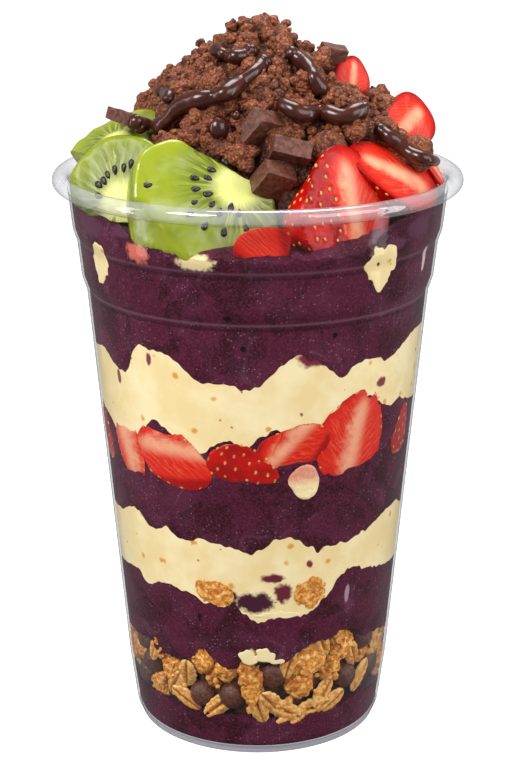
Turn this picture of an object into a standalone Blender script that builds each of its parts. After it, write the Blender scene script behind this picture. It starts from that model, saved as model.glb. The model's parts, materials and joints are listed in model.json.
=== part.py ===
"""A clear plastic cup of layered acai, cream, strawberries and granola, heaped with fruit and brownie.

Metres, +Z up. The origin is on the ground under the cup's axis and the front faces -Y.
Turns round the cup are in degrees from the front, positive towards +X. Design tables are in millimetres.
"""
import math
import random

import bmesh
import bpy
import numpy as np
from mathutils import Matrix, Vector
from mathutils.bvhtree import BVHTree

MM = 0.001

# Driving dimensions of the cup
SIDES = 32
WALL = 0.7 * MM
GAP = 0.3 * MM
FLOOR_UNDERSIDE = 1.2 * MM
FLOOR_TOP = 2.2 * MM
FOOT_RING_WIDTH = 1.6 * MM
BEAD_RADIUS = 1.95 * MM
BEAD_CENTRE = (47.15 * MM, 137.9 * MM)
NECK_TOP = 136.0 * MM
# Limits of the space for food: its floor, its top, and how far it may hang over the rim
CAVITY_FLOOR = 3.0 * MM
CAVITY_TOP = 200.0 * MM
OVERHANG_RADIUS = 48.6 * MM
# Outer radius of the wall at each height where its slope changes, with two stacking ledges
OUTER_WALL = ((0.0, 30.0), (1.5, 30.0), (2.5, 31.0), (16.0, 32.8), (111.5, 41.45),
              (115.0, 42.6), (123.5, 43.5), (126.5, 44.5), (136.0, 45.5))
LEDGES = (111.5 * MM, 115.0 * MM, 123.5 * MM, 126.5 * MM)

# Borders between the layers where they meet the wall: turn and height, across the front
ACAI_BASE_TOP = ((-74, 12.7), (-50, 12.0), (-33, 8.8), (-25, 11.2), (-5, 10.0), (4, 7.9), (20, 7.0),
                 (24, 10.3), (34, 8.5), (49, 11.7), (79, 8.7))
GRANOLA_TOP = ((-78, 24.4), (-53, 26.2), (-49, 23.2), (-29, 24.6), (-24, 29.0), (-19, 25.3), (-9, 24.0),
               (-3, 29.9), (2, 29.4), (6, 26.2), (13, 25.4), (17, 28.3), (37, 31.6), (45, 30.8),
               (54, 26.3), (84, 22.7))
ACAI_LOWER_TOP = ((-84, 42.4), (-56, 44.9), (-53, 41.8), (-49, 41.6), (-42, 43.8), (-30, 43.0),
                  (-20, 41.4), (-10, 42.6), (-6, 39.6), (-1, 37.4), (6, 38.2), (19, 38.4), (25, 40.2),
                  (29, 42.5), (34, 47.4), (39, 48.8), (46, 46.6), (56, 45.2), (81, 42.8))
CREAM_LOWER_TOP = ((-84, 57.3), (-66, 58.3), (-58, 61.0), (-52, 60.9), (-47, 57.7), (-41, 57.3),
                   (-38, 59.6), (-30, 56.2), (-24, 58.0), (-13, 56.3), (-2, 54.4), (6, 58.5),
                   (15, 58.7), (19, 55.7), (31, 54.9), (42, 57.1), (60, 59.8), (68, 60.2), (84, 56.1))
ACAI_MIDDLE_TOP = ((-79, 83.5), (-69, 82.5), (-63, 79.6), (-48, 80.7), (-40, 86.7), (-37, 86.8),
                   (-31, 82.6), (-20, 79.9), (-10, 83.9), (-7, 81.7), (-2, 81.3), (0, 85.3), (5, 86.4),
                   (12, 85.0), (23, 84.9), (29, 89.5), (34, 91.8), (40, 92.6), (48, 89.7), (53, 87.4),
                   (59, 88.4), (75, 85.5))
CREAM_UPPER_TOP = ((-79, 98.2), (-67, 100.1), (-56, 96.7), (-50, 96.5), (-46, 103.5), (-36, 104.0),
                   (-29, 102.5), (-21, 98.0), (-7, 96.8), (-2, 96.1), (6, 100.0), (9, 103.2),
                   (14, 104.8), (28, 97.8), (33, 100.0), (40, 101.5), (50, 99.5), (58, 102.2),
                   (66, 104.3), (84, 103.4))
ACAI_CROWN_TOP = ((-75, 133.6), (-62, 133.0), (-52, 134.2), (-44, 133.4), (-38, 129.5), (-28, 129.0),
                  (-15, 128.0), (10, 127.9), (32, 128.0), (38, 130.0), (46, 133.2), (58, 134.0),
                  (70, 133.2))
BACK_SWAY = 1.4 * MM
INNER_SHARE = 0.8
ACAI_CROWN_LEVEL = 130.0 * MM
# The crown is level but for its edge: the higher the power, the narrower the edge that rises
ACAI_CROWN_POWER = 20

# The heap's outer surface: radius and height, and how far it reaches at each turn
HEAP_SLOPE = ((0, 177.0), (4, 176.0), (8, 172.5), (13, 168.0), (20, 163.0), (28, 157.0), (34, 151.5),
              (39, 145.0), (44, 137.0))
HEAP_REACH = ((-180, 0.98), (-135, 0.95), (-90, 1.0), (-45, 0.88), (-15, 0.74), (0, 0.70), (25, 0.72),
              (50, 0.95), (90, 0.98), (135, 0.95), (180, 0.98))
HEAP_CORE_DEPTH = 3.2 * MM
HEAP_CORE_RADIUS = 34.5 * MM
HEAP_CORE_SHARES = (0.15, 0.4, 0.7, 1.0)
HEAP_LUMPS = 34
# Lumps: smallest and largest radius, how far out they lie, how they thin out downhill, how deep they sit
LUMP_RADII = (4.2 * MM, 6.6 * MM)
LUMP_REACH = 38.0 * MM
LUMP_SPREAD = 0.55
LUMP_SUNK = 0.72
# Near the peak lumps are smaller, down to this share of their size over this part of the way
PEAK_SIZE = 0.7
PEAK_PART = 0.4
# A lump nearer to a neighbour than this share of its radius is left out
CROSSING_SHARE = 0.35
CRUMB_SEED = 11
# Each trail of chocolate sauce on the heap: its plan points, then its radius
SAUCE_TRAILS = (
    (((2.9, -11.0), (-2.9, -14.0), (-8.9, -16.5), (-14.0, -17.5), (-18.5, -19.5), (-21.0, -22.0),
      (-24.5, -23.5)), 1.7),
    (((-7.8, -5.5), (-4.5, -7.5), (-1.5, -8.0)), 1.9),
    (((5.8, -7.5), (9.0, -9.5), (12.5, -12.5), (14.0, -15.0)), 1.6),
    (((4.5, -16.5), (9.2, -18.5), (13.5, -18.5), (18.5, -20.0), (24.0, -19.0)), 1.8),
)
SAUCE_DROPS = (((-9.4, -21.5), 2.6), ((-20.2, -13.0), 2.7), ((-26.5, -19.5), 2.0))
# Crumbs that trail off the heap over the strawberries, from the heap to the rim at the right
CRUMB_TRAIL = ((27.0, -12.0, 149.5), (30.5, -13.0, 148.5), (34.0, -14.0, 147.5), (37.5, -15.0, 146.0),
               (40.5, -16.5, 144.0))
CRUMB_TRAIL_RADIUS = 2.9 * MM

# Halved strawberries pressed against the wall between the layers
# turn, height, length, width, depth, roll of the tip to the right, turn of the cut face away from outward
BAND_BERRIES = (
    (-76, 77.5, 16, 12, 7, -20, 150), (-54, 76.5, 17, 12, 8, 160, 0), (-32, 77.3, 22, 16, 9, 115, 0),
    (-5, 77.0, 15, 22, 10, 10, 175), (13, 81.0, 19, 12, 8, 78, 0), (36, 82.0, 22, 20, 10, 12, 0),
    (64, 79.5, 18, 14, 8, 10, 165), (100, 80.0, 20, 16, 9, 200, 0), (136, 78.5, 20, 15, 9, 80, 160),
    (171, 79.5, 19, 16, 9, 165, 0), (-152, 78.0, 19, 15, 9, -60, 165), (-114, 79.5, 19, 16, 9, 20, 0))
# A half with its skin to the wall has its middle this share of its depth inside the wall
BAND_SUNK = 0.55
# A pale bit among the strawberries: turn, height, radius
PALE_BIT = (17.5, 73.2, 4.6)

# The granola layer: rows of pieces by their share of its height, and how they sit at the wall
GRANOLA_ROWS = (0.27, 0.75)
GRANOLA_PER_ROW = 10
GRANOLA_CORE_INSET = 2.4 * MM
GRANOLA_SET_BACK = 3.4 * MM
BALL_RADIUS = 3.6 * MM

# Clusters of granola between the lower cream and the acai: turn, height, radius
GRANOLA_BITS = ((-17.5, 44.3, 4.4), (22.5, 43.6, 4.6), (-146.0, 44.0, 4.3), (158.0, 43.8, 4.5))
# Dabs of cream in the crown of acai at the wall: turn, height, half width, half height
CREAM_DABS = ((41.0, 123.0, 5.2, 6.0), (-58.0, 122.5, 4.2, 6.0), (150.0, 122.0, 4.8, 6.0))

# Fruit on top. Centre, turn of the cut face, lean back, roll, then the sizes of its kind
# kiwi: half width, half height, thickness, height of the straight edge below the centre, squareness
KIWIS = (
    ("kiwi_front", (-11.5, -33.5, 138.0), 20, 30, 0, (16.5, 16.5, 11.0, 14.0, 2.8)),
    ("kiwi_left", (-32.5, -20.5, 134.5), -33, 18, 0, (16.5, 17.0, 8.0, 3.0, 2.0)),
    ("kiwi_left_back", (-33.5, -3.0, 147.5), -60, 62, 0, (13.0, 12.5, 6.0, 8.0, 2.4)),
    ("kiwi_back_left", (-22.0, 29.5, 138.0), -142, 30, -10, (15.0, 15.5, 9.0, 6.0, 2.0)),
    ("kiwi_back_right", (13.0, 34.0, 138.0), 158, 28, 12, (15.5, 16.0, 9.0, 9.0, 2.0)),
)
# The second straight cut of the front slice: angle above its right side and distance from its centre
FRONT_CUT = (54.0, 10.5)
# strawberry: length, width, depth of the half
BERRIES = (
    ("strawberry_front", (20.0, -30.5, 136.5), 45, 18, -4, (27.0, 30.0, 17.0)),
    ("strawberry_right_front", (31.5, -19.5, 142.0), 48, 38, -52, (26.0, 16.0, 10.0)),
    ("strawberry_right", (35.0, 0.0, 150.0), 35, 20, -120, (18.0, 15.0, 8.0)),
    ("strawberry_rim_right", (41.0, -7.0, 142.0), 80, 30, 160, (14.0, 12.0, 7.0)),
    ("strawberry_top", (22.5, 4.0, 160.5), 25, 15, 15, (11.0, 10.0, 6.0)),
    ("strawberry_low", (1.5, -41.8, 129.6), 4, 0, 60, (13.0, 12.0, 6.0)),
    ("strawberry_back_right", (34.0, 21.0, 140.0), 122, 30, -15, (22.0, 18.0, 11.0)),
    ("strawberry_back", (-4.0, 36.0, 140.0), 183, 26, 170, (21.0, 18.0, 10.0)),
    ("strawberry_left_back", (-37.0, 17.0, 139.0), -115, 30, 20, (20.0, 17.0, 10.0)),
)
# chocolate block: centre, turns about Z, X and Y, size
BLOCKS = (
    ("chocolate_block_1", (0.8, -22.5, 153.5), 30, -38, 20, (8.0, 4.5, 7.5)),
    ("chocolate_block_2", (7.2, -25.0, 148.0), -12, -50, 22, (9.0, 4.5, 7.5)),
    ("chocolate_block_3", (3.5, -28.5, 142.6), 12, -35, 25, (8.0, 4.5, 7.5)),
    ("chocolate_block_4", (17.7, 4.0, 166.3), 20, -20, 14, (6.5, 3.5, 4.5)),
    ("chocolate_block_5", (-12.5, -17.5, 154.5), -30, -45, 10, (7.5, 3.5, 6.0)),
    ("chocolate_block_6", (-30.0, -11.0, 153.5), -60, -70, 0, (10.0, 3.0, 7.0)),
    ("chocolate_block_7", (-6.0, 24.0, 156.5), 165, -42, 15, (8.5, 4.5, 7.5)),
)
BLOCK_EDGE = 0.5 * MM
# The rim of a kiwi slice: share of its thickness and of its radius
KIWI_SECTION = ((0.0, 0.93), (0.12, 1.0), (0.8, 0.97), (1.0, 0.86))

MATERIALS = {
    "clear_plastic": ((0.92, 0.94, 0.96), 0.06),
    "acai": ((0.055, 0.010, 0.025), 0.45),
    "cream": ((0.86, 0.72, 0.42), 0.45),
    "granola": ((0.55, 0.27, 0.07), 0.7),
    "strawberry": ((0.62, 0.03, 0.02), 0.3),
    "pale_fruit": ((0.80, 0.55, 0.35), 0.4),
    "kiwi": ((0.33, 0.45, 0.04), 0.3),
    "brownie": ((0.11, 0.035, 0.018), 0.8),
    "chocolate": ((0.06, 0.02, 0.012), 0.4),
}


def start_scene():
    """Empty the scene and make the collections for the parts and the cutters."""
    for item in list(bpy.data.objects):
        bpy.data.objects.remove(item)
    collections = []
    for name in ("layered_acai_cup", "cutters"):
        collection = bpy.data.collections.new(name)
        bpy.context.scene.collection.children.link(collection)
        collections.append(collection)
    for name, (colour, roughness) in MATERIALS.items():
        material = bpy.data.materials.new(name)
        material.use_nodes = True
        shader = material.node_tree.nodes["Principled BSDF"]
        shader.inputs["Base Color"].default_value = (*colour, 1.0)
        shader.inputs["Roughness"].default_value = roughness
        shader.inputs["Metallic"].default_value = 0.0
    return collections


PARTS, CUTTERS = start_scene()


def add_part(name, bm, material, collection=PARTS):
    """Turn a bmesh into an object with one material."""
    mesh = bpy.data.meshes.new(name)
    bm.to_mesh(mesh)
    bm.free()
    mesh.materials.append(bpy.data.materials[material])
    part = bpy.data.objects.new(name, mesh)
    collection.objects.link(part)
    return part


def add_cutter(name, bm):
    cutter = add_part(name, bm, "acai", CUTTERS)
    cutter.hide_render = True
    cutter.display_type = "WIRE"
    return cutter


def bake(part):
    """Replace an object's mesh by the one its modifiers make."""
    evaluated = part.evaluated_get(bpy.context.evaluated_depsgraph_get())
    mesh = bpy.data.meshes.new_from_object(evaluated)
    part.modifiers.clear()
    part.data = mesh


def boolean(part, other, operation, solver="EXACT"):
    """Join, cut or intersect a part with another mesh at once."""
    modifier = part.modifiers.new("boolean", "BOOLEAN")
    modifier.operation = operation
    modifier.solver = solver
    modifier.object = other
    bake(part)


def union_all(part, pieces, solver="EXACT"):
    """Join loose pieces to a part with one Boolean union on their collection."""
    collection = bpy.data.collections.new(part.name + "_pieces")
    bpy.context.scene.collection.children.link(collection)
    for piece in pieces:
        CUTTERS.objects.unlink(piece)
        collection.objects.link(piece)
    modifier = part.modifiers.new("union", "BOOLEAN")
    modifier.operation = "UNION"
    modifier.solver = solver
    modifier.operand_type = "COLLECTION"
    modifier.collection = collection
    bake(part)
    for piece in pieces:
        bpy.data.objects.remove(piece)
    bpy.data.collections.remove(collection)


def keep_largest_body(part):
    """Drop the loose scraps that a cut can leave beside the main body."""
    bm = bmesh.new()
    bm.from_mesh(part.data)
    unseen = set(bm.faces)
    bodies = []
    while unseen:
        front = [unseen.pop()]
        body = list(front)
        while front:
            for edge in front.pop().edges:
                for face in edge.link_faces:
                    if face in unseen:
                        unseen.remove(face)
                        front.append(face)
                        body.append(face)
        bodies.append(body)
    bodies.sort(key=lambda body: sum(face.calc_area() for face in body))
    for body in bodies[:-1]:
        bmesh.ops.delete(bm, geom=body, context="FACES")
    bm.to_mesh(part.data)
    bm.free()


def offset_step(vert, by):
    """The step that moves every face at a point outwards by the same amount, as near as can be."""
    normals = np.array([face.normal for face in vert.link_faces])
    step = np.linalg.lstsq(normals, np.full(len(normals), by), rcond=0.1)[0]
    return Vector(step)


def add_piece(name, bm, material):
    """A part that its neighbours are cut round, and the cutter for that: the same form grown by the gap."""
    room = bm.copy()
    room.normal_update()
    steps = [offset_step(vert, GAP) for vert in room.verts]
    for vert, step in zip(room.verts, steps):
        vert.co += step
    bmesh.ops.triangulate(room, faces=room.faces)
    add_cutter(name + "_room", room)
    return add_part(name, bm, material)


def boxes_meet(part, other):
    def box(item):
        corners = np.array([vert.co for vert in item.data.vertices])
        return corners.min(axis=0), corners.max(axis=0)

    low, high = box(part)
    other_low, other_high = box(other)
    return bool(np.all(low < other_high) and np.all(other_low < high))


def make_room(part, neighbours):
    """Cut a part back from its neighbours, with the clearance round each."""
    for neighbour in neighbours:
        room = bpy.data.objects[neighbour.name + "_room"]
        if boxes_meet(part, room):
            boolean(part, room, "DIFFERENCE", solver="MANIFOLD")
    keep_largest_body(part)


def outer_radius(height):
    heights, radii = zip(*OUTER_WALL)
    return float(np.interp(height / MM, heights, radii)) * MM


def content_radius(height):
    """Radius of what touches the wall from inside."""
    return outer_radius(height) - WALL - GAP


def on_circle(turn, radius, height):
    angle = math.radians(turn)
    return Vector((radius * math.sin(angle), -radius * math.cos(angle), height))


def lathe(name, profile, material, collection=PARTS):
    """A turned solid from points (radius, height) that start and end on the axis."""
    bm = bmesh.new()
    verts = [bm.verts.new((radius, 0.0, height)) for radius, height in profile]
    for first, second in zip(verts, verts[1:]):
        bm.edges.new((first, second))
    part = add_part(name, bm, material, collection)
    screw = part.modifiers.new("turn", "SCREW")
    screw.steps = SIDES
    screw.render_steps = SIDES
    screw.use_merge_vertices = True
    screw.merge_threshold = 0.01 * MM
    screw.use_smooth_shade = False
    return part


def make_cup():
    """The cup's profile: up the inside, over the rolled bead and down the outside to the foot ring."""
    wall = [(radius * MM, height * MM) for height, radius in OUTER_WALL]
    inside = [(radius - WALL, height) for radius, height in wall if height > FLOOR_TOP]
    bead = []
    for angle in (180, 120, 60, 0, -60, -120):
        turn = math.radians(angle)
        out, up = BEAD_RADIUS * math.cos(turn), BEAD_RADIUS * math.sin(turn)
        bead.append((BEAD_CENTRE[0] + out, BEAD_CENTRE[1] + up))
    foot_inner = wall[0][0] - FOOT_RING_WIDTH
    profile = [(0.0, FLOOR_TOP), (inside[0][0] - WALL, FLOOR_TOP)] + inside + bead + wall[::-1]
    profile += [(foot_inner, 0.0), (foot_inner - MM, FLOOR_UNDERSIDE), (0.0, FLOOR_UNDERSIDE)]
    return lathe("cup", profile, "clear_plastic")


def make_cavity():
    """The space the food may fill: the cup's inside less the gap, and over the bead above the rim."""
    bead_top = BEAD_CENTRE[1] + BEAD_RADIUS + GAP
    mouth = BEAD_CENTRE[0] - BEAD_RADIUS - GAP
    profile = [(0.0, CAVITY_TOP), (OVERHANG_RADIUS, CAVITY_TOP), (OVERHANG_RADIUS, bead_top),
               (mouth, bead_top), (content_radius(NECK_TOP), NECK_TOP)]
    for height, _ in OUTER_WALL[-2:2:-1]:
        profile.append((content_radius(height * MM), height * MM))
    profile += [(content_radius(CAVITY_FLOOR), CAVITY_FLOOR), (0.0, CAVITY_FLOOR)]
    cavity = lathe("cavity", profile, "acai", CUTTERS)
    cavity.hide_render = True
    cavity.display_type = "WIRE"
    bake(cavity)
    return cavity


def border_at_wall(border, turn):
    """Height of a border at the wall. The back repeats the front mirrored, with a slow sway of its own."""
    turn = (turn + 180.0) % 360.0 - 180.0
    facing = turn if abs(turn) <= 90.0 else math.copysign(180.0, turn) - turn
    turns, heights = zip(*border)
    behind = max(0.0, -math.cos(math.radians(turn)))
    angle = math.radians(turn)
    sway = math.sin(3 * angle + heights[0]) + 0.7 * math.sin(5 * angle + 2 * heights[0])
    return float(np.interp(facing, turns, heights)) * MM + behind * BACK_SWAY * sway


def border(points, level=None, power=4):
    """A border's height by turn and share of the radius: wavy at the wall, level inside."""
    if level is None:
        level = sum(height for _, height in points) / len(points) * MM

    def height(turn, share):
        return level + (border_at_wall(points, turn) - level) * share ** power

    return height


def make_layer_mesh(low, high, ledges=(), inset=0.0):
    """A layer as a loft: under side, wall, upper side. Both sides split their faces alike."""
    turns = [index * 360.0 / SIDES for index in range(SIDES)]
    bm = bmesh.new()

    def ring(height_at, share, shift):
        verts = []
        for turn in turns:
            height = height_at(turn, share) + shift
            radius = share * (content_radius(height) - inset)
            verts.append(bm.verts.new(on_circle(turn, radius, height)))
        return verts

    rings = [ring(low, INNER_SHARE, GAP / 2), ring(low, 1.0, GAP / 2)]
    rings += [ring(lambda turn, share, ledge=ledge: ledge, 1.0, 0.0) for ledge in ledges]
    rings += [ring(high, 1.0, -GAP / 2), ring(high, INNER_SHARE, -GAP / 2)]
    for first, second in zip(rings, rings[1:]):
        towards_axis = second is rings[-1]
        for index in range(SIDES):
            after = (index + 1) % SIDES
            a, b, c, d = first[index], first[after], second[after], second[index]
            if towards_axis:
                bm.faces.new((a, b, d))
                bm.faces.new((b, c, d))
            else:
                bm.faces.new((a, b, c))
                bm.faces.new((a, c, d))
    for verts, height in ((rings[0], low(0, 0) + GAP / 2), (rings[-1], high(0, 0) - GAP / 2)):
        centre = bm.verts.new((0.0, 0.0, height))
        for index in range(SIDES):
            bm.faces.new((verts[index], verts[(index + 1) % SIDES], centre))
    bmesh.ops.recalc_face_normals(bm, faces=bm.faces)
    return bm


def lump_mesh(size, rng, subdivisions=1, unevenness=0.14):
    """An uneven lump: an icosphere with its points moved in and out."""
    bm = bmesh.new()
    bmesh.ops.create_icosphere(bm, subdivisions=subdivisions, radius=1.0)
    for vert in bm.verts:
        vert.co *= 1.0 + rng.uniform(-unevenness, unevenness)
    spin = Matrix.Rotation(rng.uniform(0, math.tau), 4, Vector((rng.random(), rng.random(), 1.0)))
    bm.transform(Matrix.Diagonal((*size, 1.0)) @ spin)
    return bm


def facing(turn, lean=0.0, roll=0.0):
    """Rotation that turns a face looking along -Y to a turn round the cup, leans it back and rolls it."""
    return (Matrix.Rotation(math.radians(turn), 4, "Z") @ Matrix.Rotation(math.radians(-lean), 4, "X")
            @ Matrix.Rotation(math.radians(roll), 4, "Y"))


def granola_piece_mesh(index, rng):
    """A chocolate ball, a flat oat flake or a cluster, in turn."""
    if index % 4 == 1:
        return lump_mesh([BALL_RADIUS] * 3, rng, subdivisions=2, unevenness=0.0)
    if index % 4 == 3:
        return lump_mesh((2.6 * MM, 2.4 * MM, 5.4 * MM), rng)
    radius = rng.uniform(4.0, 5.2) * MM
    return lump_mesh((radius * 1.15, radius * 0.8, radius), rng)


def make_granola(low, high):
    """The granola layer: a core with the pieces that press against the wall fused on."""
    rng = random.Random(CRUMB_SEED)
    core = add_part("granola_layer", make_layer_mesh(low, high, inset=GRANOLA_CORE_INSET), "granola")
    pieces = []
    for row, share in enumerate(GRANOLA_ROWS):
        for index in range(GRANOLA_PER_ROW):
            turn = (index + 0.5 * row + rng.uniform(-0.12, 0.12)) * 360.0 / GRANOLA_PER_ROW
            bottom = low(turn, 1.0)
            height = bottom + share * (high(turn, 1.0) - bottom)
            place = Matrix.Translation(on_circle(turn, content_radius(height) - GRANOLA_SET_BACK, height))
            bm = granola_piece_mesh(index + row, rng)
            bm.transform(place @ facing(turn, 0.0, rng.uniform(-60, 60)))
            pieces.append(add_cutter(f"granola_piece_{row}_{index}", bm))
    union_all(core, pieces, solver="MANIFOLD")
    limits = add_cutter("granola_limits", make_layer_mesh(low, high))
    boolean(core, limits, "INTERSECT", solver="MANIFOLD")
    bpy.data.objects.remove(limits)
    keep_largest_body(core)
    return core


def cut_away(bm, point, normal):
    """Cut off what lies beyond a plane and close the cut."""
    cut = bmesh.ops.bisect_plane(bm, geom=[*bm.verts, *bm.edges, *bm.faces], dist=0.001 * MM,
                                 plane_co=point, plane_no=normal, clear_outer=True)
    edges = [item for item in cut["geom_cut"] if isinstance(item, bmesh.types.BMEdge)]
    if edges:
        bmesh.ops.contextual_create(bm, geom=edges)
    bmesh.ops.recalc_face_normals(bm, faces=bm.faces)


def half_berry_mesh(length, width, depth, sides=10, rings=6):
    """A halved strawberry: the cut face looks along -Y, the tip points up."""
    bm = bmesh.new()
    bmesh.ops.create_uvsphere(bm, u_segments=sides, v_segments=rings, radius=1.0)
    for vert in bm.verts:
        along = (vert.co.z + 1.0) / 2.0
        shoulder = 1.12 - 0.42 * along
        vert.co.x *= shoulder * width / 2.0
        vert.co.y *= shoulder * depth
        vert.co.z *= length / 2.0
    cut_away(bm, (0, 0, 0), (0, -1, 0))
    return bm


def make_band_berries(cavity):
    """Halved strawberries in a ring, trimmed to lie flush against the wall."""
    berries = []
    for index, (turn, height, length, width, depth, roll, swing) in enumerate(BAND_BERRIES):
        bm = half_berry_mesh(length * MM, width * MM, depth * MM, sides=7, rings=5)
        skin_outwards = swing > 90
        radius = content_radius(height * MM) + (-BAND_SUNK * depth * MM if skin_outwards else GAP)
        place = Matrix.Translation(on_circle(turn, radius, height * MM))
        bm.transform(place @ facing(turn + swing, 0.0, roll))
        berries.append(add_piece(f"band_strawberry_{index + 1:02d}", bm, "strawberry"))
    for index, berry in enumerate(berries):
        boolean(berry, cavity, "INTERSECT")
        make_room(berry, berries[:index])
    return berries


def make_wall_lump(name, turn, height, size, material, cavity, rng):
    """A rounded piece that shows where it meets the wall."""
    bm = lump_mesh([part * MM for part in size], rng, unevenness=0.08)
    radius = content_radius(height * MM) - size[1] * 0.45 * MM
    bm.transform(Matrix.Translation(on_circle(turn, radius, height * MM)) @ facing(turn))
    lump = add_piece(name, bm, material)
    boolean(lump, cavity, "INTERSECT")
    return lump


def rounded(angle, squareness):
    """A point on a round outline of size 1 that is the squarer the higher its squareness."""
    def side(value):
        return math.copysign(abs(value) ** (2.0 / squareness), value)

    return side(math.cos(angle)), side(math.sin(angle))


def kiwi_mesh(half_width, half_height, thickness, edge, squareness, sides=16):
    """A kiwi slice: rounded rims, its cut face along -Y and a straight edge below its centre."""
    bm = bmesh.new()
    rings = []
    for depth, share in KIWI_SECTION:
        verts = []
        for index in range(sides):
            across, up = rounded(math.tau * (index + 0.5) / sides, squareness)
            verts.append(bm.verts.new((share * half_width * across, depth * thickness,
                                       share * half_height * up)))
        rings.append(verts)
    for first, second in zip(rings, rings[1:]):
        for index in range(sides):
            after = (index + 1) % sides
            bm.faces.new((first[index], first[after], second[after], second[index]))
    bm.faces.new(rings[0])
    bm.faces.new(rings[-1])
    cut_away(bm, (0, 0, -edge), (0, 0, -1))
    return bm


def block_mesh(size):
    bm = bmesh.new()
    bmesh.ops.create_cube(bm, size=1.0)
    bm.transform(Matrix.Diagonal((*[side * MM for side in size], 1.0)))
    bmesh.ops.bevel(bm, geom=bm.edges[:], offset=BLOCK_EDGE, segments=1, profile=0.5, affect="EDGES")
    return bm


def make_fruit(cavity):
    """The kiwi slices and halved strawberries that lean on the heap inside the rim."""
    placed = []
    for name, centre, turn, lean, roll, (half_width, half_height, thickness, edge, squareness) in KIWIS:
        bm = kiwi_mesh(half_width * MM, half_height * MM, thickness * MM, edge * MM, squareness)
        if name == "kiwi_front":
            angle = math.radians(FRONT_CUT[0])
            normal = Vector((math.cos(angle), 0.0, math.sin(angle)))
            cut_away(bm, normal * FRONT_CUT[1] * MM, normal)
        bm.transform(Matrix.Translation(Vector(centre) * MM) @ facing(turn, lean, roll))
        placed.append(add_piece(name, bm, "kiwi"))
    for name, centre, turn, lean, roll, size in BERRIES:
        bm = half_berry_mesh(*[side * MM for side in size])
        bm.transform(Matrix.Translation(Vector(centre) * MM) @ facing(turn, lean, roll))
        placed.append(add_piece(name, bm, "strawberry"))
    for index, piece in enumerate(placed):
        boolean(piece, cavity, "INTERSECT")
        make_room(piece, placed[:index])
    return placed


def make_blocks(fruit):
    blocks = []
    for name, centre, turn, pitch, roll, size in BLOCKS:
        bm = block_mesh(size)
        bm.transform(Matrix.Translation(Vector(centre) * MM) @ facing(turn, pitch, roll))
        block = add_piece(name, bm, "chocolate")
        make_room(block, fruit + blocks)
        blocks.append(block)
    return blocks


def heap_height(x, y):
    """Height of the heap's surface above a plan point, in metres."""
    turn = math.degrees(math.atan2(x, -y))
    reach = np.interp(turn, *zip(*HEAP_REACH))
    radii, heights = zip(*HEAP_SLOPE)
    return float(np.interp(math.hypot(x, y) / MM / reach, radii, heights)) * MM


def heap_core_mesh(around=18):
    """The heap without its lumps: a steep mound on the level crown of acai."""
    bm = bmesh.new()
    floor = ACAI_CROWN_LEVEL + GAP
    rings = []
    for share in HEAP_CORE_SHARES:
        verts = []
        for index in range(around):
            turn = index * 360.0 / around
            reach = float(np.interp((turn + 180) % 360 - 180, *zip(*HEAP_REACH)))
            radius = share * min(HEAP_CORE_RADIUS, HEAP_SLOPE[-1][0] * reach * MM)
            spot = on_circle(turn, radius, 0.0)
            spot.z = heap_height(spot.x, spot.y) - HEAP_CORE_DEPTH
            verts.append(bm.verts.new(spot))
        rings.append(verts)
    rings.append([bm.verts.new((vert.co.x, vert.co.y, floor)) for vert in rings[-1]])
    for first, second in zip(rings, rings[1:]):
        for index in range(around):
            after = (index + 1) % around
            bm.faces.new((first[index], first[after], second[after], second[index]))
    peak = bm.verts.new((0.0, 0.0, heap_height(0.0, 0.0) - HEAP_CORE_DEPTH))
    for index in range(around):
        bm.faces.new((rings[0][index], rings[0][(index + 1) % around], peak))
    bm.faces.new(rings[-1])
    bmesh.ops.recalc_face_normals(bm, faces=bm.faces)
    return bm


def crosses(spot, radius, neighbours):
    """Whether a lump would cut deep into a neighbour, by the nearest point on each."""
    for neighbour in neighbours:
        tree = BVHTree.FromObject(neighbour, bpy.context.evaluated_depsgraph_get())
        nearest, normal, _, distance = tree.find_nearest(spot)
        inside = (spot - nearest).dot(normal) < 0
        if inside or distance < CROSSING_SHARE * radius:
            return True
    return False


def heap_lumps(neighbours):
    """Centre and radius of each crumble lump, spread over the heap by the golden angle."""
    rng = random.Random(CRUMB_SEED)
    golden = 180.0 * (3.0 - math.sqrt(5.0))
    lumps = []
    for index in range(HEAP_LUMPS):
        share = (index + 0.5) / HEAP_LUMPS
        turn = (index * golden + rng.uniform(-6, 6) + 180.0) % 360.0 - 180.0
        reach = float(np.interp(turn, *zip(*HEAP_REACH)))
        radius = rng.uniform(*LUMP_RADII) * float(np.interp(share, (0.0, PEAK_PART), (PEAK_SIZE, 1.0)))
        spot = on_circle(turn, LUMP_REACH * reach * share ** LUMP_SPREAD, 0.0)
        spot.z = heap_height(spot.x, spot.y) - LUMP_SUNK * radius
        if not crosses(spot, radius, neighbours):
            lumps.append((spot, radius))
    lumps += [(Vector(spot) * MM, CRUMB_TRAIL_RADIUS) for spot in CRUMB_TRAIL]
    return lumps


def sauce_trail_mesh(points, radius):
    """A trail of sauce: a round tube through points on the heap's surface."""
    curve = bpy.data.curves.new("sauce", "CURVE")
    curve.dimensions = "3D"
    curve.bevel_depth = radius * MM
    curve.bevel_resolution = 1
    curve.use_fill_caps = True
    spline = curve.splines.new("POLY")
    spline.points.add(len(points) - 1)
    for point, (x, y) in zip(spline.points, points):
        height = heap_height(x * MM, y * MM) + 0.3 * radius * MM
        point.co = (x * MM, y * MM, height, 1.0)
    guide = bpy.data.objects.new("sauce", curve)
    CUTTERS.objects.link(guide)
    mesh = bpy.data.meshes.new_from_object(guide.evaluated_get(bpy.context.evaluated_depsgraph_get()))
    bpy.data.objects.remove(guide)
    bm = bmesh.new()
    bm.from_mesh(mesh)
    bmesh.ops.remove_doubles(bm, verts=bm.verts, dist=0.01 * MM)
    bmesh.ops.recalc_face_normals(bm, faces=bm.faces)
    return bm


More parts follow.
